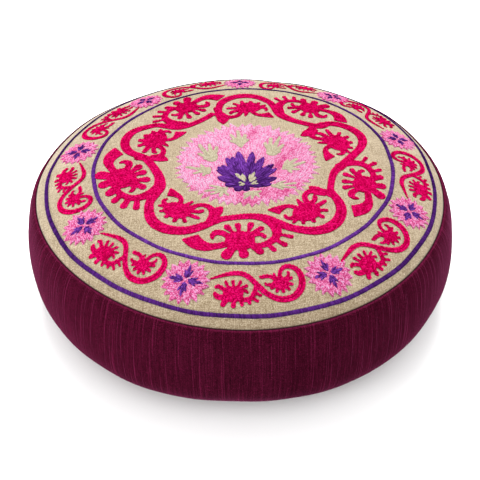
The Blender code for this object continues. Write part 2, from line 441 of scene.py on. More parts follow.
def jagged_disc(middle, points, tip, notch, seed, start=0.0, rough=1.0, crowding=0.0):
    """The outline of a disc with pointed petals, a little uneven. They may crowd together towards -Y."""
    rng = np.random.default_rng(seed)
    outline = []
    for i in range(points):
        sway = off_centre(rng, 0.25 * rough, 2)
        swell = 1.0 + off_centre(rng, 0.04 * rough, 2)
        turn = math.tau * (i + np.array([sway[0], 0.5 + sway[1]])) / points
        turn = start + turn - crowding * np.cos(turn)
        outline.append(polar(middle, turn[0], tip * swell[0]))
        outline.append(polar(middle, turn[1], notch * swell[1]))
    return outline


def three_prongs(base, heading, scale):
    """A small leaf of three points on its heading in radians."""
    other = [(along, -across) for along, across in PRONG_HALF[-2:0:-1]]
    outline = []
    for along, across in (*PRONG_HALF, *other):
        x, y = turned(along, across, heading)
        outline.append((base[0] + scale * x, base[1] + scale * y))
    return outline


def floret_middles():
    """The middle, the angle in radians, the size and the leaves' size of each floret."""
    for angle, radius, size, leaf_size in FLORET_PLACES:
        angle = math.radians(angle)
        yield polar((0.0, 0.0), angle, radius), angle, size, leaf_size


def florets(pink, purple):
    """The border's florets: a jagged pink disc with four purple leaves in a cross."""
    for seed, (middle, angle, size, leaf_size) in enumerate(floret_middles()):
        tip = size * FLORET_TIP
        notch = size * FLORET_NOTCH
        pink.polygon(jagged_disc(middle, FLORET_POINTS, tip, notch, seed, angle, FLORET_ROUGH))
        for k in range(4):
            heading = angle + 0.5 * math.pi * k
            purple.polygon(three_prongs(polar(middle, heading, PRONG_START), heading, leaf_size))


# The middle: a large pink flower with a purple lotus and pale leaves.
ROSETTE_MIDDLE = (5.6, -6.6)
ROSETTE_POINTS = 50
ROSETTE_TIP = 73.6
ROSETTE_NOTCH = 65.5
LOTUS_BASE = (5.4, -46.6)
LOTUS_BODY_PLACE = (-79.2, 29.5, 0.0, 1.0)
LOTUS_BODY_SIZE = (20.0, 21.0)
LOTUS_POINTED = (  # tip from the flower's middle and half width
    ((-8.8, 18.6), 5.0), ((6.4, 18.0), 4.3), ((-15.1, 9.0), 5.0), ((-21.0, 7.2), 4.6), ((17.6, 8.4), 4.3),
    ((27.4, -3.8), 4.0), ((30.4, -11.8), 3.6), ((30.0, -27.0), 4.6), ((24.4, -37.8), 4.4),
    ((13.9, -42.2), 2.8), ((-29.4, -8.6), 5.0), ((-25.6, -5.6), 4.2), ((-30.4, -14.4), 3.4),
    ((-29.1, -26.4), 5.2),
)
LOTUS_ROUND = (((-21.5, -38.5), 6.5), ((-12.1, -48.2), 5.8), ((-1.4, -49.6), 5.6))
PETAL_SIDE = (  # shares of its length and of its half width
    (0.0, 0.35), (0.25, 0.75), (0.5, 1.0), (0.74, 0.98), (0.86, 0.78), (0.94, 0.45), (1.0, 0.0),
)
# Each pale leaf is a hand: its wrist and palm with their half widths, the tips of its fingers and their
# half width.
LEAVES = (
    ((0, 17.5, 0.8), (-1.2, 28.5, 7.4),
        ((-12.5, 31.5), (-11.5, 44), (-3.5, 51.5), (4.8, 44), (8.8, 33.5)), 2.4),
    ((31.5, 9.0, 6.6), (32.5, 11.5, 7.4),
        ((24.3, 28.5), (31.2, 37.5), (41.3, 39.5), (44.8, 24.5), (41.5, 12)), 2.4),
    ((42, -19.0, 2.6), (45, -16.5, 5.8),
        ((47.5, -3), (57, -0.8), (65, -7), (58.5, -20.5), (50, -27)), 2.3),
    ((31.0, -47.5, 3.0), (33.5, -47, 3.6),
        ((44.0, -39.0), (54, -42.5), (53, -50.5), (41, -53.5)), 1.6),
    ((12, -56.0, 2.0), (11.5, -58, 4.2),
        ((19.8, -56), (1.5, -61.5), (2.0, -68), (10, -69), (17.5, -66)), 1.8),
    ((-14.5, -52, 3.0), (-18.5, -53.0, 4.2),
        ((-31, -46.3), (-36, -56), (-29.5, -61.5), (-20, -65.5), (-11, -63.5)), 1.8),
    ((-33.5, -25, 4.6), (-33.5, -21, 5.0),
        ((-40.5, -11), (-55.5, -16), (-47.5, -28), (-37, -32.5)), 2.2),
    ((-29.5, -1.5, 6.6), (-30, 1.5, 7.6),
        ((-24.5, 21), (-33, 26), (-44, 25), (-44.5, 8), (-38.5, -3)), 2.5),
)
FINGER_BOW = 24.0  # degrees
FINGER_BULGE = 1.5
LEAF_RAISED = 0.05
MARKS_RAISED = 0.85
LOTUS_MARKS_BASE = (5.8, -45.0)
LOTUS_MARKS = (  # base and tips of the pale marks in the lotus, with their half width
    ((4.0, -42.4), ((-6.4, -27), (1.0, -28.6)), 2.0),
    ((8.4, -42.4), ((13.6, -24.8), (8.8, -28.8), (14.8, -34)), 1.75),
    ((4.4, -46), ((-3.2, -42.4), (-2.6, -48)), 1.5),
    ((8.6, -46), ((16.2, -39.8), (17.4, -44.4)), 1.3),
)


def from_flower(point):
    return (ROSETTE_MIDDLE[0] + point[0], ROSETTE_MIDDLE[1] + point[1])


def petal(base, tip, half_width):
    """The outline of a pointed petal."""
    along, across = np.array(PETAL_SIDE).T
    across = across * half_width
    way = np.subtract(tip, base)
    side = np.array([-way[1], way[0]]) / np.hypot(*way)
    left = np.array(base) + along[:, None] * way + across[:, None] * side
    right = np.array(base) + along[:, None] * way - across[:, None] * side
    return np.vstack([left, right[-2::-1]])


def short_of(tip, base, gap):
    """The point on the way from a base to a tip that lies a gap short of the tip."""
    return tip - gap * (tip - base) / np.hypot(*(tip - base))


def lotus(cover):
    """The lotus: a round body with pointed petals above and round ones below."""
    cover.ellipse((0.0, 0.0), LOTUS_BODY_SIZE, LOTUS_BODY_PLACE)
    for tip, half_width in LOTUS_POINTED:
        cover.polygon(petal(LOTUS_BASE, from_flower(tip), half_width))
    base = np.array(LOTUS_BASE)
    for tip, half_width in LOTUS_ROUND:
        head = half_width * 0.75
        end = short_of(np.array(from_flower(tip)), base, head)
        path = [(*base, 2.0), (*(0.5 * (base + end)), 0.6 * half_width), (*end, head)]
        cover.stroke(smooth(path, 4))


def leaf_finger(cover, palm, heading, tip, half_width):
    """One finger of a pale leaf. It leaves the palm a little outward and bends back to its tip."""
    middle = np.array(palm[:2])
    way = np.subtract(tip, middle)
    straight = math.atan2(way[1], way[0])
    aside = (straight - heading + math.pi) % math.tau - math.pi
    bow = math.radians(FINGER_BOW) * math.sin(max(-math.pi, min(2.0 * aside, math.pi)))
    knuckle = np.array(polar(middle, straight + bow, palm[2] - half_width))
    end = short_of(tip, knuckle, 0.8 * half_width)
    aside = straight + 0.5 * math.pi * np.sign(bow)
    bend = polar(0.5 * (knuckle + end), aside, abs(bow) * FINGER_BULGE)
    path = [(*knuckle, 1.25 * half_width), (*bend, half_width), (*end, 0.8 * half_width)]
    cover.stroke(smooth(path, 3))


def leaves(cover):
    """The pale leaves, each with its fingers spread like a hand."""
    for wrist, palm, tips, half_width in LEAVES:
        cover.stroke([wrist, palm])
        heading = math.atan2(palm[1] - wrist[1], palm[0] - wrist[0])
        for tip in tips:
            leaf_finger(cover, palm, heading, tip, half_width)


def lotus_marks(cover):
    for base, tips, half_width in LOTUS_MARKS:
        for tip in tips:
            cover.polygon(petal(base, tip, half_width))


# ---- Surfaces.


def uneven(lobes, angle):
    """How far an outline leaves its circle at an angle round the cushion."""
    return sum(depth * np.cos(count * angle - math.radians(phase)) for count, depth, phase in lobes)


def crown_height(radius):
    drop = (np.maximum(radius, 0.0) / SEAM_RADIUS) ** CROWN_POWER
    return CROWN_HEIGHT - (CROWN_HEIGHT - SEAM_HEIGHT) * drop


def nominal_radius(x, y):
    """Radius of the round cushion that a place on the uneven crown stands for."""
    radius = np.hypot(x, y)
    lean = uneven(SEAM_LOBES, np.arctan2(y, x)) / (SEAM_RADIUS - WAVE_START_RADIUS)
    outer = WAVE_START_RADIUS + (radius - WAVE_START_RADIUS) / (1.0 + lean)
    return np.where(radius > WAVE_START_RADIUS, outer, radius)


def true_radius(radius, angle):
    """Radius on the uneven crown of a place whose radius on the round cushion is given."""
    share = np.clip((radius - WAVE_START_RADIUS) / (SEAM_RADIUS - WAVE_START_RADIUS), 0.0, 1.0)
    return radius + share * uneven(SEAM_LOBES, angle)


def swells(rows, angle):
    """The sum of the swells at an angle round the cushion."""
    total = np.zeros_like(angle)
    for middle, amount, reach in rows:
        away = (np.degrees(angle) - middle + 180.0) % 360.0 - 180.0
        total += amount * np.exp(-((away / reach) ** 2))
    return total


def edge_swell(radius, angle):
    """How much the filling lifts the crown near its edge."""
    out = np.clip((radius - EDGE_SWELL_START) / (SEAM_RADIUS - EDGE_SWELL_START), 0.0, 1.0)
    return swells(EDGE_SWELLS, angle) * out**EDGE_SWELL_POWER


def on_crown(x, y, lift):
    """Points above places of the plan, by a lift in millimetres."""
    x = np.asarray(x) * MM
    y = np.asarray(y) * MM
    radius = nominal_radius(x, y)
    height = crown_height(radius) + edge_swell(radius, np.arctan2(y, x)) + np.asarray(lift) * MM
    return np.stack([x, y + CROWN_MIDDLE_Y, height], axis=-1)


def new_object(name, points, faces):
    """A smoothly shaded mesh object from points and lists of faces, each list with faces of one size."""
    mesh = bpy.data.meshes.new(name)
    faces = [np.asarray(group, np.int32) for group in faces if len(group)]
    sizes = np.concatenate([np.full(len(group), group.shape[1], np.int32) for group in faces])
    corners = np.concatenate([group.ravel() for group in faces])
    starts = np.concatenate([[0], np.cumsum(sizes)[:-1]]).astype(np.int32)
    mesh.vertices.add(len(points))
    mesh.vertices.foreach_set("co", np.asarray(points, np.float32).ravel())
    mesh.loops.add(len(corners))
    mesh.loops.foreach_set("vertex_index", corners)
    mesh.polygons.add(len(sizes))
    mesh.polygons.foreach_set("loop_start", starts)
    mesh.polygons.foreach_set("loop_total", sizes)
    mesh.update(calc_edges=True)
    mesh.validate()
    mesh.polygons.foreach_set("use_smooth", np.full(len(mesh.polygons), True))
    made = bpy.data.objects.new(name, mesh)
    bpy.context.scene.collection.objects.link(made)
    return made


def add_layer(made, name, values, kind="FLOAT", key="value"):
    """Gives each point of a mesh its number, or its vector, for the material."""
    layer = made.data.attributes.new(name, kind, "POINT")
    layer.data.foreach_set(key, np.asarray(values, np.float32).ravel())


def add_vectors(made, name, values):
    add_layer(made, name, values, "FLOAT_VECTOR", "vector")


def ring_faces(rows, segments):
    """Quads between rings of points that follow each other."""
    i = np.arange(segments)
    j = (i + 1) % segments
    firsts = segments * np.arange(rows - 1)
    return np.concatenate([np.stack([a + i, a + j, a + segments + j, a + segments + i], 1) for a in firsts])


def ringed(name, rings, tips, flipped=False):
    """An object of rings of points, closed at its start by a fan to a tip and, with two tips, at its end."""
    segments = len(rings[0])
    count = segments * len(rings)
    i = np.arange(segments)
    j = (i + 1) % segments
    last = count - segments
    fans = [np.stack([j, i, np.full(segments, count)], 1)]
    if len(tips) > 1:
        fans.append(np.stack([last + i, last + j, np.full(segments, count + 1)], 1))
    quads = ring_faces(len(rings), segments)
    tris = np.vstack(fans)
    if flipped:
        quads = quads[:, ::-1]
        tris = tris[:, [1, 0, 2]]
    return new_object(name, np.vstack([*rings, tips]), [quads, tris])


def run_along(points):
    """How far each point of a path lies along it."""
    return np.concatenate([[0.0], np.cumsum(np.hypot(*np.diff(points, axis=0).T))])


def clamped(value):
    return min(max(value, 0.0), 1.0)


def off_centre(rng, amount, shape):
    """Random numbers round zero, from minus to plus half an amount."""
    return amount * (rng.random(shape) - 0.5)


# ---- Stitches, in millimetres.

COVER_EDGE = 1.1  # width over which a cover rises from the linen
COVER_SUNK = -0.35
COVER_TOP = 0.60
NEAR_EDGE = 0.6 * GRID_STEP  # how far outside a cover its depth is measured anew

STATIONS = np.array([0.0, 0.2, 0.5, 0.8, 1.0])  # along a stitch
SECTION = ((-1.0, 0.0), (-0.58, 0.8), (0.58, 0.8), (1.0, 0.0))  # across and up, in half widths and rises
SWELL = (0.78, 1.0, 0.78)
SAG = np.array([-0.34, -0.05, 0.0, -0.05, -0.34])
POINTS_A_STITCH = 14  # its two ends and three sections
ROW_STEP = 0.52  # from one row of staggered stitches to the next, in stitch lengths

# Pitch, length, width and rise of a piece's stitches, and how loosely they lie.
Stitch = namedtuple("Stitch", "pitch length width rise loose", defaults=(0.16,))


def edge_points(field):
    """Where the grid's lines cross the edge of a cover."""
    found = []
    for axis in (0, 1):
        a = field[:-1] if axis == 0 else field[:, :-1]
        b = field[1:] if axis == 0 else field[:, 1:]
        j, i = np.nonzero((a < 0) != (b < 0))
        share = a[j, i] / (a[j, i] - b[j, i])
        x = i + (share if axis == 1 else 0.0)
        y = j + (share if axis == 0 else 0.0)
        found.append(on_plan(np.stack([x, y], axis=1)))
    return np.concatenate(found)


def true_depth(field):
    """Depth inside a cover, measured to its nearest edge. Outside it is negative."""
    edge = edge_points(field)
    tree = KDTree(len(edge))
    for k, (x, y) in enumerate(edge):
        tree.insert((x, y, 0.0), k)
    tree.balance()
    depth = -field.copy()
    for j, i in np.argwhere(field < NEAR_EDGE):
        near = tree.find((on_plan(i), on_plan(j), 0.0))[2]
        depth[j, i] = near if field[j, i] < 0 else -near
    return depth


def cover_lift(depth):
    """Height of a cover over the linen: rounded at its edge."""
    rise = np.clip(depth / COVER_EDGE, 0.0, 1.0)
    return COVER_SUNK + (COVER_TOP - COVER_SUNK) * np.sqrt(1.0 - (1.0 - rise) ** 2)


def cover_mesh(depth, raised=0.0):
    """The cover itself as a mesh: grid nodes inside it, with those near the edge moved on to it."""
    down, across = np.gradient(depth, GRID_STEP)
    size = np.maximum(np.hypot(across, down), 0.3)
    j, i = np.nonzero(depth > -0.5 * GRID_STEP)
    near = np.abs(depth[j, i]) < 0.5 * GRID_STEP
    shift = np.where(near, -depth[j, i] / size[j, i], 0.0)
    x = on_plan(i) + shift * across[j, i] / size[j, i]
    y = on_plan(j) + shift * down[j, i] / size[j, i]
    points = on_crown(x, y, cover_lift(np.where(near, 0.0, depth[j, i])) + raised)
    number = np.full(depth.shape, -1)
    number[j, i] = np.arange(len(j))
    corners = np.stack([number[:-1, :-1], number[:-1, 1:], number[1:, 1:], number[1:, :-1]], -1)
    corners = corners.reshape(-1, 4)
    there = (corners >= 0).sum(axis=1)
    threes = corners[there == 3]
    return points, [corners[there == 4], threes[threes >= 0].reshape(-1, 3)]


def stitch_mesh(lines, lifts, half_width, rise, tone):
    """Stitches as slim spindles, from lines of shape (stitches, stations, 2) and the lifts of their feet."""
    count = len(lines)
    ways = np.gradient(lines, axis=1)
    ways /= np.maximum(np.linalg.norm(ways, axis=2, keepdims=True), 1e-9)
    sides = np.stack([-ways[..., 1], ways[..., 0]], axis=-1)
    places = [on_crown(*lines[:, 0].T, lifts[:, 0])]
    strands = [np.zeros((count, 2))]
    for k, swell in enumerate(SWELL, 1):
        for across, up in SECTION:
            spot = lines[:, k] + sides[:, k] * (across * swell * half_width)[:, None]
            places.append(on_crown(*spot.T, lifts[:, k] + up * swell * rise))
            strands.append(np.tile([STATIONS[k], across], (count, 1)))
    places.append(on_crown(*lines[:, 4].T, lifts[:, 4]))
    strands.append(np.tile([1.0, 0.0], (count, 1)))
    points = np.stack(places, axis=1).reshape(-1, 3)
    tris = [(0, 2 + k, 1 + k) for k in range(3)] + [(13, 9 + k, 10 + k) for k in range(3)]
    quads = [(a + k, a + k + 1, a + k + 5, a + k + 4) for a in (1, 5) for k in range(3)]
    first = POINTS_A_STITCH * np.arange(count)[:, None, None]
    faces = [(first + np.array(quads)).reshape(-1, 4), (first + np.array(tris)).reshape(-1, 3)]
    return points, faces, np.repeat(tone, POINTS_A_STITCH), np.stack(strands, axis=1).reshape(-1, 2)


def level_crossings(depth, level):
    """Where the grid's lines cross one depth inside a cover, and the neighbours of each crossing."""
    inside = depth > level
    touched = inside[:-1, :-1] | inside[:-1, 1:] | inside[1:, :-1] | inside[1:, 1:]
    whole = inside[:-1, :-1] & inside[:-1, 1:] & inside[1:, :-1] & inside[1:, 1:]
    spots = {}
    links = {}
    for b, a in zip(*np.nonzero(touched & ~whole)):
        ring = ((b, a), (b, a + 1), (b + 1, a + 1), (b + 1, a))
        cuts = []
        for p, q in zip(ring, ring[1:] + ring[:1]):
            if inside[p] != inside[q]:
                (j0, i0), (j1, i1) = min(p, q), max(p, q)
                key = (j0 + j1, i0 + i1)
                share = (depth[j0, i0] - level) / (depth[j0, i0] - level - (depth[j1, i1] - level))
                spots[key] = (i0 + share * (i1 - i0), j0 + share * (j1 - j0))
                cuts.append(key)
        if len(cuts) == 4 and not inside[b, a]:
            cuts = cuts[1:] + cuts[:1]
        for p, q in zip(cuts[::2], cuts[1::2]):
            links.setdefault(p, []).append(q)
            links.setdefault(q, []).append(p)
    return spots, links


def contour_rows(depth, level):
    """Closed rows of points at one depth inside a cover."""
    spots, links = level_crossings(depth, level)
    rows = []
    left = dict.fromkeys(links)
    while left:
        row = [next(iter(left))]
        ahead = row[:]
        while ahead:
            del left[ahead[0]]
            ahead = [key for key in links[row[-1]] if key in left]
            row += ahead[:1]
        rows.append(on_plan(np.array([spots[key] for key in row])))
    return rows


def along_rows(depth, stitch, seed):
    """Stitches end to end along rows that follow a cover's edge, as in chain stitch."""
    rng = np.random.default_rng(seed)
    lines = []
    level = 0.5 * stitch.pitch
    while level < depth.max():
        for row in contour_rows(depth, level):
            closed = np.vstack([row, row[:1]])
            run = run_along(closed)
            if run[-1] < 1.2 * stitch.pitch:
                continue
            count = max(2, round(run[-1] / stitch.length))
            share = (np.arange(count) + off_centre(rng, 0.35, count) + rng.random()) / count
            ends = np.append(share[1:], share[0] + 1.0)
            stretch = (ends - share)[:, None] * (STATIONS * 1.12 - 0.06)
            where = (share[:, None] + stretch) % 1.0 * run[-1]
            lines.append(np.stack([np.interp(where, run, column) for column in closed.T], -1))
        level += stitch.pitch
    lines = np.concatenate(lines)
    return lines + off_centre(rng, 0.10, (len(lines), 1, 2))


def cut_to(starts, ways, inside):
    """Stitches from their starts and ways, cut off where they leave a cover."""
    marks = [inside(*(starts + share * ways).T) for share in (0.0, 0.25, 0.5, 0.75, 1.0)]
    begin = np.where(marks[0] & marks[1], 0.0, np.where(marks[1], 0.25, 0.45))
    end = np.where(marks[4] & marks[3], 1.0, np.where(marks[3], 0.75, 0.6))
    keep = marks[2] & (end - begin > 0.3)
    share = (begin[:, None] + (end - begin)[:, None] * STATIONS)[keep]
    return starts[keep, None] + share[..., None] * ways[keep, None]


def radiating(centre, reach, stitch, jitter, inside, seed):
    """Long and short stitches that radiate from a centre, in staggered rows. jitter is in degrees."""
    rng = np.random.default_rng(seed)
    starts = []
    ways = []
    radius = 0.5 * stitch.length
    while radius < reach:
        count = max(3, int(math.tau * radius / stitch.pitch))
        angle = math.tau * (np.arange(count) + 0.7 * rng.random(count)) / count + rng.random()
        begin = radius - 0.5 * stitch.length + off_centre(rng, 0.45 * stitch.length, count)
        heading = angle + off_centre(rng, math.radians(jitter), count)
        size = stitch.length * (0.85 + 0.3 * rng.random(count))
        starts.append(np.stack([centre[0] + begin * np.cos(angle), centre[1] + begin * np.sin(angle)], 1))
        ways.append(np.stack([size * np.cos(heading), size * np.sin(heading)], 1))
        radius += ROW_STEP * stitch.length
    return cut_to(np.concatenate(starts), np.concatenate(ways), inside)


def combed(middle, reach, stitch, lean_at, jitter, inside, seed):
    """Long and short stitches side by side round a middle, leaning to the right as lean_at says."""
    rng = np.random.default_rng(seed)
    across = np.arange(-reach, reach, stitch.pitch)
    up = np.arange(-reach, reach, ROW_STEP * stitch.length)
    x, y = (grid.ravel() for grid in np.meshgrid(across, up))
    x = middle[0] + x + off_centre(rng, 0.6 * stitch.pitch, x.size)
    y = middle[1] + y + off_centre(rng, 0.7 * stitch.length, y.size)
    lean = np.radians(lean_at(x) + off_centre(rng, jitter, x.size))
    size = stitch.length * (0.75 + 0.5 * rng.random(x.size))
    ways = np.stack([size * np.sin(lean), size * np.cos(lean)], 1)
    return cut_to(np.stack([x, y], 1) - 0.5 * ways, ways, inside)


def lay(lines, at, stitch, seed, raised=0.0):
    """Heights, half widths and rises for stitches laid over a cover."""
    rng = np.random.default_rng(seed)
    count = len(lines)
    foot = cover_lift(at(lines[..., 0], lines[..., 1])) + raised
    lifts = foot + SAG + stitch.loose * rng.random(count)[:, None]
    half = 0.5 * stitch.width * (0.9 + 0.25 * rng.random(count))
    return lifts, half, stitch.rise * (0.85 + 0.3 * rng.random(count))


def patchy(x, y, size, seed):
    """A soft random field of about -1 to 1 with patches of a size in millimetres."""
    rng = np.random.default_rng(seed)
    total = 0.0
    for _ in range(9):
        heading = math.tau * rng.random()
        wave = math.tau / (size * (0.6 + 1.1 * rng.random()))
        along = x * math.cos(heading) + y * math.sin(heading)
        total = total + np.sin(wave * along + math.tau * rng.random())
    return total / 4.5


class Embroidery:
    """The meshes of one piece of embroidery, joined at the end."""

    def __init__(self):
        self.parts = []
        self.count = 0

    def add(self, points, faces, tone, strand=None):
        quads, tris = (np.asarray(group) + self.count for group in faces)
        strand = np.zeros((len(points), 2)) if strand is None else strand
        self.parts.append((points, quads, tris, np.broadcast_to(tone, (len(points),)), strand))
        self.count += len(points)

    # A cover is the padding thread under the stitches; the darker tone it is given stands for painted shade
    # between the stitches.
    def add_cover(self, depth, tone, raised=0.0):
        points, faces = cover_mesh(depth, raised)
        self.add(points, faces, tone)

    def add_stitches(self, lines, laid, tone):
        self.add(*stitch_mesh(lines, *laid, np.clip(tone, 0.0, 1.0)))

    def finish(self, name, material, slot):
        points, quads, tris, tone, strand = (np.concatenate(group) for group in zip(*self.parts))
        made = new_object(name, points, [quads, tris])
        add_layer(made, "tone", tone)
        add_vectors(made, "strand", np.column_stack([strand, np.zeros(len(strand))]))
        made.data.materials.append(material)
        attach(made, "root")
        return made


def room_in(at, least, other=None):
    """A test for places deeper than the least inside a cover and, if another one is named, outside that."""

    def inside(x, y):
        deep = at(x, y) > least
        return deep if other is None else deep & (other.at(x, y) > 0.0)

    return inside


def middles(lines):
    return lines[:, 2, 0], lines[:, 2, 1]


# The stitches of each piece. Tones run from 0, dark, to 1, light.
WOOL_ROWS = Stitch(1.12, 3.3, 1.22, 0.38)
FLOWER_STITCH = Stitch(0.78, 4.6, 0.90, 0.36, 0.2)
FLORET_STITCH = Stitch(0.86, 2.5, 0.96, 0.44, 0.34)
LOTUS_STITCH = Stitch(0.92, 8.0, 1.04, 0.42)
CROSS_STITCH = Stitch(0.85, 3.6, 0.95, 0.42)
LEAF_STITCH = Stitch(0.92, 5.2, 1.02, 0.4)
FLOWER_RAISED = -0.3  # its thread lies flatter than the wool
FLOWER_LEANS = (14.0, 32.0)  # most lean to the left and to the right, in degrees
FLOWER_LEAN_REACH = 42.0
PURPLE_RAISED = 0.25
CROSS_RAISED = 0.5
SATIN_INSET = 0.12  # how deep inside their covers satin stitches stay


def crimson_piece(name, depth, near, material, seed):
    """Crimson wool in rows along the edges of its shapes, where a condition holds on the grid."""
    depth = np.where(near, depth, -FAR)
    piece = Embroidery()
    piece.add_cover(depth, 0.12)
    lines = along_rows(depth, WOOL_ROWS, seed)
    rng = np.random.default_rng(seed + 1)
    x, y = middles(lines)
    tone = 0.67 + 0.16 * patchy(x, y, 9.0, seed + 2) + off_centre(rng, 0.8, len(lines))
    # painted shade: the wool is made darker towards the back and towards the sides
    tone -= 0.20 * np.clip(y / 110.0, 0.0, 1.0) + 0.12 * np.clip(np.abs(x) / 110.0, 0.0, 1.0)
    piece.add_stitches(lines, lay(lines, Cover(depth).at, WOOL_ROWS, seed + 3), tone)
    return piece.finish(name, material, "crimson_thread")


# Where the large flower's threads are a hotter pink: middle, reach along and across, heading in degrees
# and strength.
HOT_PLACES = (
    ((38, -12), (17, 4.5), 62, 0.30),
    ((13, -59), (16, 7), 15, 0.26),
    ((13, 46), (9, 4), 65, 0.22),
    ((-37, -64), (9, 4), 0, 0.22),
    ((44, -53), (15, 6), 40, 0.18),
    ((-47, -50), (5, 4), 0, 0.16),
    ((54, 16), (14, 7), 60, 0.10),
    ((6, -74), (9, 5), 0, 0.22),
)


def hotness(x, y):
    total = 0.0
    for middle, reach, heading, strength in HOT_PLACES:
        along, across = turned(x - middle[0], y - middle[1], -math.radians(heading))
        along = along / reach[0]
        across = across / reach[1]
        total = total + strength * np.exp(-along * along - across * across)
    return total


def flower_lean(x):
    """The flower's stitches stand nearly upright and lean outward, more so on the right, in degrees."""
    aside = (x - ROSETTE_MIDDLE[0]) / FLOWER_LEAN_REACH
    return np.where(aside > 0, FLOWER_LEANS[1], FLOWER_LEANS[0]) * np.tanh(aside)


def pink_flower(depth, other, material):
    """The large flower in the middle, in long and short stitches, darker along the motifs on it."""
    piece = Embroidery()
    piece.add_cover(depth, 0.42, FLOWER_RAISED)
    at = Cover(depth).at
    lines = combed(ROSETTE_MIDDLE, 76.0, FLOWER_STITCH, flower_lean, 16.0, room_in(at, 0.0, other), 31)
    rng = np.random.default_rng(32)
    x, y = middles(lines)
    near = np.exp(-np.clip(other.at(x, y), 0.0, 20.0) / 1.3)
    side = 0.5 + 0.5 * np.tanh((x - 12.0 - 0.3 * y) / 20.0)
    tone = 0.64 - 0.30 * near - 0.08 * side - 2.4 * hotness(x, y) + 0.04 * patchy(x, y, 9.0, 33)
    tone += off_centre(rng, 0.7, len(lines))
    piece.add_stitches(lines, lay(lines, at, FLOWER_STITCH, 34, FLOWER_RAISED), tone)
    return piece.finish("pink_flower", material, "pink_thread")


def pink_florets(depth, purple, material):
    """The border's florets in short loose stitches, lighter towards their rims."""
    piece = Embroidery()
    piece.add_cover(depth, 0.24)
    at = Cover(depth).at
    rng = np.random.default_rng(41)
    for k, (middle, _, size, _) in enumerate(floret_middles()):
        lines = radiating(middle, 24.0 * size, FLORET_STITCH, 70.0, room_in(at, 0.1, purple), 50 + k)
        x, y = middles(lines)
        rim = np.hypot(x - middle[0], y - middle[1]) / (size * FLORET_TIP)
        tone = 0.34 + 0.10 * rim + 0.05 * patchy(x, y, 5.0, 60 + k) + off_centre(rng, 0.9, len(lines))
        piece.add_stitches(lines, lay(lines, at, FLORET_STITCH, 70 + k), tone)
    return piece.finish("pink_florets", material, "pink_thread")


def purple_piece(depth, material):
    """The lotus and the florets' leaves in satin stitch."""
    piece = Embroidery()
    piece.add_cover(depth, 0.06, PURPLE_RAISED)
    at = Cover(depth).at
    inside = room_in(at, SATIN_INSET)
    rng = np.random.default_rng(81)
    lines = radiating(LOTUS_BASE, 70.0, LOTUS_STITCH, 6.0, inside, 82)
    x, y = middles(lines)
    dx = x - LOTUS_BASE[0]
    dy = y - LOTUS_BASE[1]
    fan = np.degrees(np.arctan2(dy, dx))
    tone = 0.20 + 0.44 * (np.hypot(dx, dy) / 60.0) + 0.13 * np.sin(fan / 4.6) + 0.12 * (fan > 95.0)
    tone += 0.08 * patchy(x, y, 8.0, 84) + off_centre(rng, 0.65, len(lines))
    piece.add_stitches(lines, lay(lines, at, LOTUS_STITCH, 83, PURPLE_RAISED), tone)
    for k, (middle, angle, size, _) in enumerate(floret_middles()):
        lines = radiating(middle, 19.0 * size, CROSS_STITCH, 24.0, inside, 90 + k)
        # painted shade: the florets' leaves are lighter at the front and darker at the back
        tone = 0.40 - 0.22 * math.sin(angle) + off_centre(rng, 0.85, len(lines))
        piece.add_stitches(lines, lay(lines, at, CROSS_STITCH, 110 + k, CROSS_RAISED), tone)
    return piece.finish("purple_flowers", material, "purple_thread")


def leaf_piece(depth, marks, material):
    """The pale leaves, and the pale marks on the lotus, in stitches that run out from each one's base."""
    piece = Embroidery()
    rng = np.random.default_rng(131)
    palms = [leaf[1] for leaf in LEAVES]
    bases = [leaf[0] for leaf in LEAVES]
    for layer, starts, raised in (
        (depth, bases, LEAF_RAISED),
        (marks, [LOTUS_MARKS_BASE], MARKS_RAISED),
    ):
        piece.add_cover(layer, 0.25, raised)
        at = Cover(layer).at
        for k, base in enumerate(starts):
            lines = radiating(base, 34.0, LEAF_STITCH, 12.0, room_in(at, SATIN_INSET), 140 + k)
            x, y = middles(lines)
            away = [np.hypot(x - palm[0], y - palm[1]) for palm in palms]
            if layer is depth:
                lines = lines[np.argmin(away, axis=0) == k]
            tone = 0.55 + off_centre(rng, 0.6, len(lines))
            piece.add_stitches(lines, lay(lines, at, LEAF_STITCH, 160 + k, raised), tone)
    return piece.finish("pale_leaves", material, "leaf_thread")


# The two rings of satin stitch, in millimetres.
RING_HEIGHT = 1.1
RING_HALF_WIDTH = 1.9
RING_SEGMENTS = 512
RIDGE_ACROSS = np.linspace(-1.0, 1.0, 7)
SATIN_PITCH = 0.95
SATIN_HALF_WIDTH = 0.52
SATIN_RISE = 0.3

# sway is how far a ring strays outward from its circle, at equal steps round it from +X, and shift is how
# far its middle lies towards +X.
Ring = namedtuple("Ring", "radius shift tone seed sway")
INNER_RING = Ring(
    149.0, 2.0, 0.36, 3,
    (0.8, 3.5, 4.4, 1.9, -0.5, -2.7, -4.2, -4.7, -2.3, -0.3, 0.3, 0.5, 0.4, 1.1, 1.6, 1.1, 0.2, 0.6),
)
OUTER_RING = Ring(
    195.5, 0.0, 0.12, 4,
    (-0.8, 2.2, 3.0, 2.0, 0.0, 0.0, -1.0, -1.8, -3.6, -1.4, -1.2, 0.4, 0.2, 0.5, 0.4, 0.7, 0.8, 0.8),
)


def strayed(sway, angle):
    """A ring's stray at any angle, on a smooth curve through its steps."""
    place = np.degrees(angle) % 360.0 / 360.0 * len(sway)
    step = np.floor(place).astype(int)
    four = [np.take(sway, step + k, mode="wrap") for k in (-1, 0, 1, 2)]
    return through(*four, place - step)


def ring_middle(ring, angle):
    """Radius of the line along a ring's middle, which wavers a little."""
    wander = strayed(ring.sway, angle) + 0.25 * np.sin(19 * angle + ring.seed)
    return true_radius(ring.radius * MM, angle) * 1000 + wander


def ring_half_width(angle):
    """Half of a ring's width: wider at the sides and narrower at the back."""
    back = np.clip(np.sin(angle), 0.0, 1.0) ** 3
    return RING_HALF_WIDTH * (1.0 + 0.2 * np.cos(angle) ** 2 - 0.4 * back)


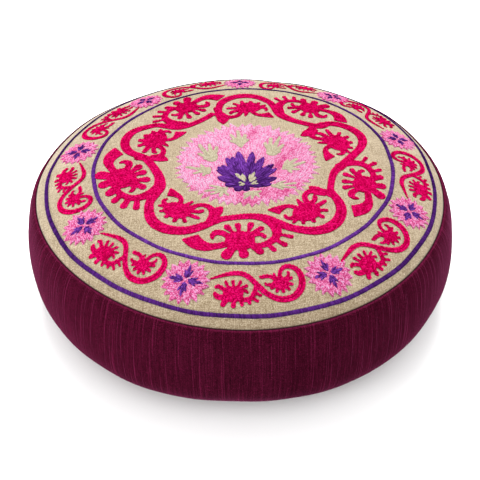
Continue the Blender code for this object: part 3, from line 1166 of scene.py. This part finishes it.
def ring_ridge(piece, ring):
    """The padding under a ring's stitches."""
    turn = math.tau * np.arange(RING_SEGMENTS) / RING_SEGMENTS
    points = []
    for t in RIDGE_ACROSS:
        r = ring_middle(ring, turn) + t * (ring_half_width(turn) - 0.15)
        lift = (RING_HEIGHT - 0.1) * math.sqrt(1.0 - t * t) - 0.25
        points.append(on_crown(r * np.cos(turn) + ring.shift, r * np.sin(turn), lift))
    quads = ring_faces(len(RIDGE_ACROSS), RING_SEGMENTS)[:, ::-1]
    # the ridge's dark tone is painted shade between the satin stitches
    piece.add(np.concatenate(points), [quads, np.zeros((0, 3), int)], 0.05)


def satin_ring(piece, ring):
    """A ridge with close stitches across it, a little on the slant."""
    ring_ridge(piece, ring)
    rng = np.random.default_rng(ring.seed)
    count = int(math.tau * ring.radius / SATIN_PITCH)
    angle = math.tau * (np.arange(count) + 0.25 * rng.random(count)) / count
    slant = (0.9 + 0.5 * rng.random(count)) / ring.radius
    t = 2.0 * STATIONS - 1.0
    ends = 1.0 + 0.14 * rng.random(count)
    turned = angle[:, None] + 0.5 * slant[:, None] * t
    r = ring_middle(ring, angle)[:, None] + t * (ends * ring_half_width(angle))[:, None]
    lines = np.stack([r * np.cos(turned) + ring.shift, r * np.sin(turned)], axis=-1)
    arch = (RING_HEIGHT - 0.05) * np.sqrt(np.clip(1.0 - t * t, 0.0, 1.0)) - 0.12
    lifts = np.tile(arch, (count, 1)) + 0.06 * rng.random((count, 1))
    lifts[:, [0, -1]] -= 0.2
    # painted shade: the rings are lighter at the front and darker at the back
    tone = ring.tone - 0.22 * np.sin(angle) + 0.07 * np.sin(7 * angle + ring.seed)
    tone += off_centre(rng, 0.34, count)
    half = np.full(count, SATIN_HALF_WIDTH) * (0.85 + 0.3 * rng.random(count))
    piece.add_stitches(lines, (lifts, half, np.full(count, SATIN_RISE)), tone)


# ---- Cloth.

LINEN_SEGMENTS = 600
LINEN_ROWS = 108
LINEN_EDGE = (0.8, 0.6, 0.4, 0.2, 0.08, 0.0)  # rows of the turned edge, in shares of it that are left
LINEN_PITCH = 0.0007  # from thread to thread
LINEN_WAVES = ((0.10, 16.0, 11), (0.05, 6.0, 12))  # height and size in millimetres, and seed
DRAWN_DOWN = 0.24  # millimetres that the linen is drawn down at the embroidery
DRAWN_REACH = 1.5
NEAR_MIDDLE = 0.9  # the linen is marked as near at this distance from the embroidery, and round it
NEAR_REACH = 1.1
# Painted shade on the linen: a slight darkening over its last millimetres and a full one in the seam's
# groove.
PAINTED_RIM_SHADE = (0.07, 0.011, 0.008)  # how dark the painted shade over the linen's rim is, how far in that starts and its rise
GROOVE_SHADE = (0.0008, 0.0006)  # how far in the full painted shade in the seam's groove starts, and its rise
BACK_LIGHTER = 0.65  # how much weaker the painted seam shade is at the back
BAND_SEGMENTS = 720
BAND_LOWER_ROWS = 30
BAND_UPPER_ROWS = 34
ROLL_TURNS = (0.25, 0.5, 0.75, 1.0)
UNDER_ROWS = 11
FOLD_MIDDLE = 0.0002  # how far below the fold's start its painted highlight is brightest
FOLD_REACH = 0.0008
PUFFS = (0.0011, (5, 7, 9, 12, 15, 19, 23, 31))  # height of the filling's swells, and counts round the side
GATHERS = (0.00016, (61, 83, 97, 113, 139))
GATHER_REACH = 0.012
BASE_SEGMENTS = 320
BASE_INNER_RADII = (BASE_SEAM_RADIUS - 0.006, 0.012)
BASE_EDGE = ((0.0, PANEL_THICKNESS), (0.0, 0.0011), (0.0005, 0.0005), (0.002, 0.0))  # inset and height
BASE_ROWS = 18


def swell(share, power):
    """A quarter of a superellipse, from (1, 0) at share 0 to (0, 1) at share 1."""
    turn = 0.5 * math.pi * share
    return abs(math.cos(turn)) ** (2.0 / power), abs(math.sin(turn)) ** (2.0 / power)


def band_rows():
    """The side band from the base up: radius, height, shares of the seam's and the belly's lobes, and y."""
    lip = BASE_SEAM_RADIUS + LIP_WIDTH
    rows = [
        (BASE_SEAM_RADIUS + GAP, PANEL_THICKNESS + GAP, 0.0, 0.0, 0.0),
        (BASE_SEAM_RADIUS + GAP, LIP_HEIGHT + GAP, 0.0, 0.0, 0.0),
        (lip, LIP_HEIGHT, 0.0, 0.0, 0.0),
    ]
    for i in range(1, BAND_LOWER_ROWS + 1):
        out, down = swell(1.0 - i / BAND_LOWER_ROWS, LOWER_SIDE_POWER)
        height = BELLY_HEIGHT - (BELLY_HEIGHT - LIP_HEIGHT) * down
        rows.append((lip + (BELLY_RADIUS - lip) * out, height, 0.0, out, 0.0))
    roll_radius = SEAM_RADIUS + ROLL_WIDTH
    roll_height = SEAM_HEIGHT - ROLL_RISE
    for i in range(1, BAND_UPPER_ROWS + 1):
        out, up = swell(i / BAND_UPPER_ROWS, UPPER_SIDE_POWER)
        share = up * up
        height = BELLY_HEIGHT + (roll_height - BELLY_HEIGHT) * up
        radius = roll_radius + (BELLY_RADIUS - roll_radius) * out
        rows.append((radius, height, share, 1.0 - share, share * CROWN_MIDDLE_Y))
    for turned in ROLL_TURNS:
        radius = SEAM_RADIUS + GAP + ROLL_WIDTH * (1.0 - turned)
        height = SEAM_HEIGHT - GROOVE_DEPTH + (GROOVE_DEPTH - ROLL_RISE) * math.sqrt(1.0 - turned**2)
        rows.append((radius, height, 1.0, 0.0, CROWN_MIDDLE_Y))
    return rows


def ring_at(turn, radius, height, y=0.0):
    """A ring of points round a middle that lies at y."""
    return np.stack([radius * np.cos(turn), y + radius * np.sin(turn), height + 0.0 * turn], 1)


def fold_light_and_groove_shade(past):
    """Marks the painted highlight along the cloth's fold under the seam with up to 1, and the painted shade
    inside its groove with -1. past is in metres.
    """
    fold = math.exp(-(((past + FOLD_MIDDLE) / FOLD_REACH) ** 2))
    return fold - clamped((past - FOLD_REACH) / FOLD_REACH)


def band_relief(turn, length, seam_run):
    """Soft swells of the filling and faint gathers by the seams, in metres."""
    rng = np.random.default_rng(6)
    total = np.zeros_like(turn)
    puff, counts = PUFFS
    for count in counts:
        phase = math.tau * rng.random(3)
        height = math.sin(length * (18.0 + 30.0 * rng.random()) + phase[2])
        total += (puff / math.sqrt(count)) * (0.5 + 0.5 * height) * np.sin(count * turn + phase[0])
    edge = math.exp(-(seam_run - length) / GATHER_REACH) + 0.8 * math.exp(-length / GATHER_REACH)
    gather, counts = GATHERS
    for count in counts:
        total += gather * edge * np.sin(count * turn + math.tau * rng.random())
    return total


def under_linen(turn):
    """Rings of the filling's crown under the linen, from the seam inward."""
    for i in range(UNDER_ROWS):
        radius = (SEAM_RADIUS + GAP) * (1.0 - i / UNDER_ROWS)
        deep = GROOVE_DEPTH if i == 0 else PANEL_THICKNESS + GAP
        height = crown_height(radius) + edge_swell(radius, turn) - deep
        yield ring_at(turn, true_radius(radius, turn), height, CROWN_MIDDLE_Y)


def make_side_band(material):
    """The filled side band, closed under the linen and over the base."""
    rows = band_rows()
    turn = math.tau * np.arange(BAND_SEGMENTS) / BAND_SEGMENTS
    seam = uneven(SEAM_LOBES, turn)
    belly = uneven(BELLY_LOBES, turn) + swells(SIDE_SWELLS, turn)
    lifted = edge_swell(SEAM_RADIUS, turn)
    run = run_along([row[:2] for row in rows])
    seam_run = run[-1 - len(ROLL_TURNS)]
    points = []
    cloth = []
    fold_light_marks = []
    for (radius, height, seam_share, belly_share, y), length in zip(rows, run):
        ease = math.sin(math.pi * clamped(length / seam_run))
        soft = band_relief(turn, length, seam_run) * min(1.0, 3.0 * ease)
        r = radius + seam_share * seam + belly_share * belly + soft
        points.append(ring_at(turn, r, height + seam_share * lifted, y))
        lean = turn + 0.0016 * np.sin(length * 38.0 + 3.0 * turn)
        lean = lean + 0.0008 * np.sin(length * 90.0 + 11.0 * turn)
        cloth.append(ring_at(lean, BELLY_RADIUS, length))
        # painted highlight along the fold under the seam, and painted shade inside its groove
        fold_light_marks += [fold_light_and_groove_shade(length - seam_run)] * BAND_SEGMENTS
    under = list(under_linen(turn))
    cloth += [cloth[-1]] * len(under)
    # the rings under the linen take the full painted groove shade
    fold_light_marks += [-1.0] * (BAND_SEGMENTS * len(under))
    ends = [(0.0, 0.0, rows[0][1]), (0.0, CROWN_MIDDLE_Y, CROWN_HEIGHT - PANEL_THICKNESS - GAP)]
    made = ringed("side_band", points + under, ends)
    add_vectors(made, "cloth", np.vstack([*cloth, np.zeros((2, 3))]))
    # the roll layer carries the painted fold highlight and the painted groove shade
    add_layer(made, "roll", [*fold_light_marks, 0.0, 0.0])
    made.data.materials.append(material)
    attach(made, "root")
    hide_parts("side_band_filled")
    return made


def painted_seam_shade(radius):
    """Painted shade on the linen near its edge: a little over its last millimetres, fully at the seam's
    front, in its groove.
    """
    shade, start, rise = PAINTED_RIM_SHADE
    shaded = shade * clamped((radius - SEAM_RADIUS + start) / rise)
    return max(shaded, clamped((radius - SEAM_RADIUS + GROOVE_SHADE[0]) / GROOVE_SHADE[1]))


def make_linen(covers, material):
    """The linen top, stretched over the crown and drawn down a little round the embroidery."""
    turn = math.tau * np.arange(LINEN_SEGMENTS) / LINEN_SEGMENTS
    plain = list(np.linspace(0.0, SEAM_RADIUS - SEAM_TURN, LINEN_ROWS + 1)[1:])
    edge = [SEAM_RADIUS - SEAM_TURN * left for left in LINEN_EDGE]
    points = []
    dark = []
    near = []
    for radius in plain + edge:
        r = true_radius(radius, turn)
        x = r * np.cos(turn) * 1000
        y = r * np.sin(turn) * 1000
        off = np.minimum.reduce([cover.at(x, y) for cover in covers])
        drawn = -DRAWN_DOWN * np.exp(-np.clip(off, 0.0, 20.0) / DRAWN_REACH)
        into = max(0.0, (radius - SEAM_RADIUS + SEAM_TURN) / SEAM_TURN)
        waves = sum(height * patchy(x, y, size, seed) for height, size, seed in LINEN_WAVES)
        lift = (drawn + waves) * (1.0 - into) - SEAM_SINK / MM * into**2.2
        points.append(on_crown(x, y, lift))
        # painted shade at the rim and in the seam's groove, weaker at the back
        dark.append(painted_seam_shade(radius) * (1.0 - BACK_LIGHTER * np.clip(np.sin(turn), 0.0, 1.0)))
        near.append(np.exp(-((off - NEAR_MIDDLE) / NEAR_REACH) ** 2))
    made = ringed("linen_top", points, on_crown([0.0], [0.0], [-DRAWN_DOWN]), flipped=True)
    # the seam layer holds the painted shade at the rim and in the groove
    add_layer(made, "seam", np.concatenate([*dark, [0.0]]))
    add_layer(made, "near", np.concatenate([*near, [0.0]]))
    made.data.materials.append(material)
    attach(made, "root")
    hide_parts("top_panel")
    return made


def make_base(material):
    """The base cloth, a thin disc turned in at its seam."""
    turn = math.tau * np.arange(BASE_SEGMENTS) / BASE_SEGMENTS
    outline = [(BASE_SEAM_RADIUS - inset, height) for inset, height in BASE_EDGE]
    outline += [(radius, 0.0) for radius in np.linspace(*BASE_INNER_RADII, BASE_ROWS)]
    rings = [ring_at(turn, radius, height) for radius, height in outline]
    ends = [(0.0, 0.0, PANEL_THICKNESS), (0.0, 0.0, 0.0)]
    made = ringed("base_cloth", rings, ends, flipped=True)
    places = np.vstack([*rings, ends])
    add_vectors(made, "cloth", places[:, [0, 2, 1]])
    add_layer(made, "roll", np.zeros(len(places)))
    made.data.materials.append(material)
    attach(made, "root")
    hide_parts("base_panel")
    return made


# ---- Materials.

COARSE_GRAIN = (1.0, 1.6, 1000.0)  # weight of the fuzz, weight and scale of the specks
FINE_GRAIN = (0.35, 0.5, 520.0)
# The dark, middle and light colour of each thread, and its grain.
THREADS = {
    "crimson_wool": ((0.17, 0.0, 0.016), (0.385, 0.0010, 0.056), (0.50, 0.004, 0.100), (0.6, 1.1, 900.0)),
    "rose_wool": ((0.34, 0.015, 0.105), (0.575, 0.155, 0.325), (0.50, 0.32, 0.465), COARSE_GRAIN),
    "pink_wool": ((0.33, 0.022, 0.11), (0.485, 0.165, 0.295), (0.42, 0.33, 0.42), COARSE_GRAIN),
    "purple_wool": ((0.017, 0.0035, 0.038), (0.066, 0.0145, 0.134), (0.150, 0.040, 0.29), FINE_GRAIN),
    "leaf_wool": ((0.180, 0.156, 0.100), (0.312, 0.274, 0.190), (0.390, 0.350, 0.262), FINE_GRAIN),
}
TWIST = (22.0, 2.6)  # how fast a thread's ply turns along a stitch and across it

LINEN_COLOURS = (
    (0.2, (0.138, 0.096, 0.053)),
    (0.57, (0.277, 0.218, 0.142)),
    (1.0, (0.458, 0.390, 0.283)),
)
# The colour of the painted shade at the linen's rim and in the seam's groove.
LINEN_SHADE_COLOUR = (0.020, 0.0015, 0.0065, 1.0)
LINEN_SLUB = 110.0
LINEN_THREAD = 1300.0

PLUM_COLOURS = (
    (0.10, (0.007, 0.0006, 0.0022)),
    (0.50, (0.0262, 0.0017, 0.0062)),
    (1.1, (0.108, 0.0070, 0.0330)),
)
# The colour of the painted shade inside the seam's groove.
PLUM_GROOVE_SHADE_COLOUR = (0.014, 0.0010, 0.0045, 1.0)
SLUB_LIGHT = 0.21  # how much lighter a slub is
PLUM_SLUB = (0.64, 0.71)  # where a ridge in the threads starts to be a light slub, and where it is one
WHITE = (1.0, 1.0, 1.0, 1.0)
FLOOR_COLOUR = (0.93, 0.93, 0.93, 1.0)


class Recipe:
    """A material in the making. Its methods add shader nodes and give back their results."""

    def __init__(self, name):
        self.material = bpy.data.materials.new(name)
        self.material.use_nodes = True
        self.tree = self.material.node_tree
        self.shader = self.tree.nodes["Principled BSDF"]

    def node(self, kind, inputs, result=0, **settings):
        """A node. inputs holds pairs of a socket's name or number and a value or another socket."""
        made = self.tree.nodes.new(kind)
        for key, value in settings.items():
            setattr(made, key, value)
        for key, value in inputs:
            if isinstance(value, bpy.types.NodeSocket):
                self.tree.links.new(value, made.inputs[key])
            else:
                made.inputs[key].default_value = value
        return made.outputs[result]

    def maths(self, operation, *values):
        return self.node("ShaderNodeMath", enumerate(values), operation=operation)

    def add(self, *values):
        return self.maths("ADD", *values)

    def times(self, *values):
        return self.maths("MULTIPLY", *values)

    def mark(self, name, result="Fac"):
        """The numbers or vectors that the mesh holds under a name."""
        return self.node("ShaderNodeAttribute", (), result, attribute_name=name)

    def places(self):
        return self.node("ShaderNodeTexCoord", (), "Object")

    def split(self, vector):
        parts = self.tree.nodes.new("ShaderNodeSeparateXYZ")
        self.tree.links.new(vector, parts.inputs[0])
        return parts.outputs

    def noise(self, vector, scale, detail=2.0, roughness=0.5):
        inputs = [("Vector", vector), ("Scale", scale), ("Detail", detail), ("Roughness", roughness)]
        return self.node("ShaderNodeTexNoise", inputs, "Fac")

    def fibres(self, vector, scale, detail=2.0, roughness=0.5):
        """Noise with its own scale on each axis."""
        stretched = self.node("ShaderNodeMapping", [("Vector", vector), ("Scale", scale)], "Vector")
        return self.noise(stretched, 1.0, detail, roughness)

    def blended(self, *parts):
        """One half, plus how far each part leaves one half, times its weight."""
        total = 0.5 - 0.5 * sum(weight for _, weight in parts)
        for value, weight in parts:
            total = self.maths("MULTIPLY_ADD", value, weight, total)
        return total

    def ramp(self, factor, stops):
        """A colour ramp: stops are (place, (r, g, b))."""
        colour = self.node("ShaderNodeValToRGB", [("Fac", factor)], "Color")
        marks = colour.node.color_ramp.elements
        while len(marks) < len(stops):
            marks.new(0.5)
        for mark, (place, rgb) in zip(marks, stops):
            mark.position = place
            mark.color = (*rgb, 1.0)
        return colour

    def mixed(self, factor, colour, other):
        inputs = [("Factor", factor), (6, colour), (7, other)]
        return self.node("ShaderNodeMix", inputs, 2, data_type="RGBA")

    def bump(self, height, distance, strength=1.0, normal=None):
        inputs = [("Height", height), ("Distance", distance), ("Strength", strength)]
        if normal is not None:
            inputs.append(("Normal", normal))
        return self.node("ShaderNodeBump", inputs, "Normal")

    def matt(self, roughness):
        self.shader.inputs["Roughness"].default_value = roughness
        self.shader.inputs["Specular IOR Level"].default_value = 0.0
        return self.material

    def finish(self, colour, normal, roughness, sheen=None):
        """Joins colour and normal to the shader. sheen is its weight, roughness and tint."""
        self.tree.links.new(colour, self.shader.inputs["Base Color"])
        self.tree.links.new(normal, self.shader.inputs["Normal"])
        if sheen:
            self.shader.inputs["Sheen Weight"].default_value = sheen[0]
            self.shader.inputs["Sheen Roughness"].default_value = sheen[1]
            self.shader.inputs["Sheen Tint"].default_value = sheen[2]
        return self.matt(roughness)


def thread_material(name):
    """Wool thread: its tone differs from stitch to stitch, with a fine twist and fuzz."""
    *colours, (fuzz_weight, speck_weight, speck_scale) = THREADS[name]
    make = Recipe(name)
    tone = make.mark("tone")
    along, across = make.split(make.mark("strand", "Vector"))[:2]
    places = make.places()
    fuzz = make.noise(places, 1500.0, 3.0)
    speck = make.noise(places, speck_scale)
    ply = make.maths("SINE", make.add(make.times(along, TWIST[0]), make.times(across, TWIST[1])))
    total = make.add(tone, make.times(make.maths("SUBTRACT", fuzz, 0.5), fuzz_weight))
    total = make.add(total, make.times(make.maths("SUBTRACT", speck, 0.5), speck_weight))
    total = make.add(total, make.times(ply, 0.05))
    colour = make.ramp(total, list(zip((0.0, 0.5, 1.0), colours)))
    height = make.add(make.times(ply, 0.35), fuzz)
    return make.finish(colour, make.bump(height, 0.00022), 0.7)


def linen_material():
    """Natural linen: a fine plain weave with short slubs, flecks and a dry surface."""
    make = Recipe("linen_weave")
    places = make.places()
    x, y = (make.times(part, math.pi / LINEN_PITCH) for part in make.split(places)[:2])
    over = make.times(make.maths("SINE", x), make.maths("SINE", y))
    warp = make.maths("ABSOLUTE", make.maths("COSINE", x))
    weft = make.maths("ABSOLUTE", make.maths("COSINE", y))
    share = make.add(make.times(over, 0.5), 0.5)
    weave = make.add(make.times(warp, share), make.times(weft, make.maths("SUBTRACT", 1.0, share)))
    slub_x = make.fibres(places, (LINEN_SLUB, LINEN_THREAD, LINEN_SLUB))
    slub_y = make.fibres(places, (LINEN_THREAD, LINEN_SLUB, LINEN_SLUB))
    cloudy = make.noise(places, 45.0, 4.0, 0.6)
    fleck = make.noise(places, 1000.0, 2.0, 0.6)
    parts = ((slub_x, 0.5), (slub_y, 0.5), (cloudy, 0.22), (fleck, 1.5), (weave, 0.12))
    total = make.blended(*parts, (make.mark("near"), 0.09))
    # painted shade: the seam layer mixes the linen towards a dark plum at its rim and in the seam's groove
    colour = make.mixed(make.mark("seam"), make.ramp(total, LINEN_COLOURS), LINEN_SHADE_COLOUR)
    rough = make.bump(fleck, 0.00022, 0.6)
    rough = make.bump(make.add(slub_x, slub_y), 0.00022, 0.7, rough)
    return make.finish(colour, make.bump(weave, 0.00012, 1.0, rough), 0.8, (0.22, 0.5, WHITE))


def plum_material():
    """Slubbed plum cotton: fine upright threads, a few of them thin and light, and a plain weft, with a
    painted highlight along the fold under the seam and painted shade inside its groove.
    """
    make = Recipe("plum_cotton")
    cloth = make.mark("cloth", "Vector")
    roll = make.mark("roll")
    threads = make.fibres(cloth, (1300.0, 1300.0, 28.0), 2.0, 0.6)
    weft = make.fibres(cloth, (300.0, 300.0, 1500.0), 2.0, 0.6)
    broad = make.fibres(cloth, (150.0, 150.0, 5.0))
    ridge = make.fibres(cloth, (900.0, 900.0, 10.0), 0.0)
    fuzz = make.noise(make.places(), 1500.0, 2.0, 0.7)
    limits = [("Value", ridge), ("From Min", PLUM_SLUB[0]), ("From Max", PLUM_SLUB[1])]
    slub = make.node("ShaderNodeMapRange", limits, "Result")
    # painted highlight along the fold under the seam (lit), and painted shade inside its groove (inner)
    fold = make.maths("MAXIMUM", roll, 0.0)
    inner = make.maths("MAXIMUM", make.times(roll, -1.0), 0.0)
    lit = make.times(fold, make.add(-0.45, make.times(fuzz, 1.5)))
    total = make.blended((threads, 0.75), (broad, 0.05), (weft, 0.4), (fuzz, 1.8))
    total = make.add(make.maths("MULTIPLY_ADD", slub, SLUB_LIGHT, total), lit)
    brightest = PLUM_COLOURS[-1][0]
    stops = [(place / brightest, colour) for place, colour in PLUM_COLOURS]
    dyed = make.ramp(make.times(total, 1.0 / brightest), stops)
    colour = make.mixed(inner, dyed, PLUM_GROOVE_SHADE_COLOUR)
    fine = make.bump(make.add(make.add(threads, weft), fuzz), 0.00018, 0.8)
    sheen = (0.26, 0.28, (0.64, 0.14, 0.35, 1.0))
    return make.finish(colour, make.bump(slub, 0.0003, 0.8, fine), 0.85, sheen)


def floor_material():
    """A matt white studio floor."""
    make = Recipe("white_floor")
    make.shader.inputs["Base Color"].default_value = FLOOR_COLOUR
    return make.matt(0.9)


# ---- Floor, light and camera.

FLOOR_SIZE = 8.0
ROOM_LIGHT = 1.48
LIGHT_TARGET = (0.0, 0.0, 0.06)
LIGHTS = (  # name, place, size and power: one above and behind the cushion and a low one on either side
    ("softbox", (0.0, 1.0, 1.6), 1.2, 50.0),
    ("left_fill", (-1.40, -0.50, 0.11), 0.2, 20.0),
    ("right_fill", (1.5, 0.05, 0.11), 0.2, 4.5),
)
CAMERA_TARGET = (-0.0010, -0.0002, 0.0223)
CAMERA_ELEVATION = 41.42
CAMERA_DISTANCE = 0.7476
CAMERA_LENS = 50.0
CAMERA_SENSOR = 36.0


def make_floor():
    bpy.ops.mesh.primitive_plane_add(size=FLOOR_SIZE)
    floor = bpy.context.object
    floor.name = "floor"
    floor.data.materials.append(floor_material())


def put(name, data, place, way):
    """A lamp or camera at a place, turned to look along a way."""
    made = bpy.data.objects.new(name, data)
    made.location = place
    made.rotation_euler = way.to_track_quat("-Z", "Y").to_euler()
    bpy.context.scene.collection.objects.link(made)
    return made


def make_light():
    """Square softboxes in a white room."""
    world = bpy.data.worlds.new("studio")
    world.use_nodes = True
    background = world.node_tree.nodes["Background"]
    background.inputs["Color"].default_value = WHITE
    background.inputs["Strength"].default_value = ROOM_LIGHT
    bpy.context.scene.world = world
    for name, place, size, power in LIGHTS:
        data = bpy.data.lights.new(name, "AREA")
        data.shape = "SQUARE"
        data.size = size
        data.energy = power
        put(name, data, place, Vector(LIGHT_TARGET) - Vector(place))


def make_camera():
    data = bpy.data.cameras.new("camera")
    data.lens = CAMERA_LENS
    data.sensor_width = CAMERA_SENSOR
    tilt = math.radians(CAMERA_ELEVATION)
    away = Vector((0.0, -math.cos(tilt), math.sin(tilt))) * CAMERA_DISTANCE
    bpy.context.scene.camera = put("camera", data, Vector(CAMERA_TARGET) + away, -away)
    bpy.context.scene.view_settings.view_transform = "Standard"


# ---- The whole scene.


def make_embroidery():
    """Every piece of embroidery, and the covers that the linen is drawn in round."""
    crimson, pink, purple, pale, flower, marks = (Cover() for _ in range(6))
    wreath(crimson)
    scrolls(crimson)
    florets(pink, purple)
    rosette = (ROSETTE_MIDDLE, ROSETTE_POINTS, ROSETTE_TIP, ROSETTE_NOTCH, 7)
    flower.polygon(jagged_disc(*rosette, rough=1.7, crowding=0.14))
    lotus(purple)
    leaves(pale)
    lotus_marks(marks)
    y, x = on_plan(np.mgrid[0:GRID_COUNT, 0:GRID_COUNT])
    inner = np.hypot(x - INNER_RING.shift, y) < INNER_RING.radius
    wool = thread_material("crimson_wool")
    violet = thread_material("purple_wool")
    over = Cover(np.minimum(purple.field, pale.field))
    depth = true_depth(crimson.field)
    made = [
        crimson_piece("crimson_wreath", depth, inner, wool, 201),
        crimson_piece("crimson_border", depth, ~inner, wool, 211),
        pink_flower(true_depth(flower.field), over, thread_material("pink_wool")),
        pink_florets(true_depth(pink.field), purple, thread_material("rose_wool")),
        purple_piece(true_depth(purple.field), violet),
        leaf_piece(true_depth(pale.field), true_depth(marks.field), thread_material("leaf_wool")),
    ]
    rings = Embroidery()
    satin_ring(rings, INNER_RING)
    satin_ring(rings, OUTER_RING)
    made.append(rings.finish("satin_rings", violet, "purple_thread"))
    return made, (crimson, pink, flower, purple)


plum = plum_material()
make_side_band(plum)
make_base(plum)
embroidery, covers = make_embroidery()
linen = make_linen(covers, linen_material())
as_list(embroidery)
make_floor()
make_light()
make_camera()
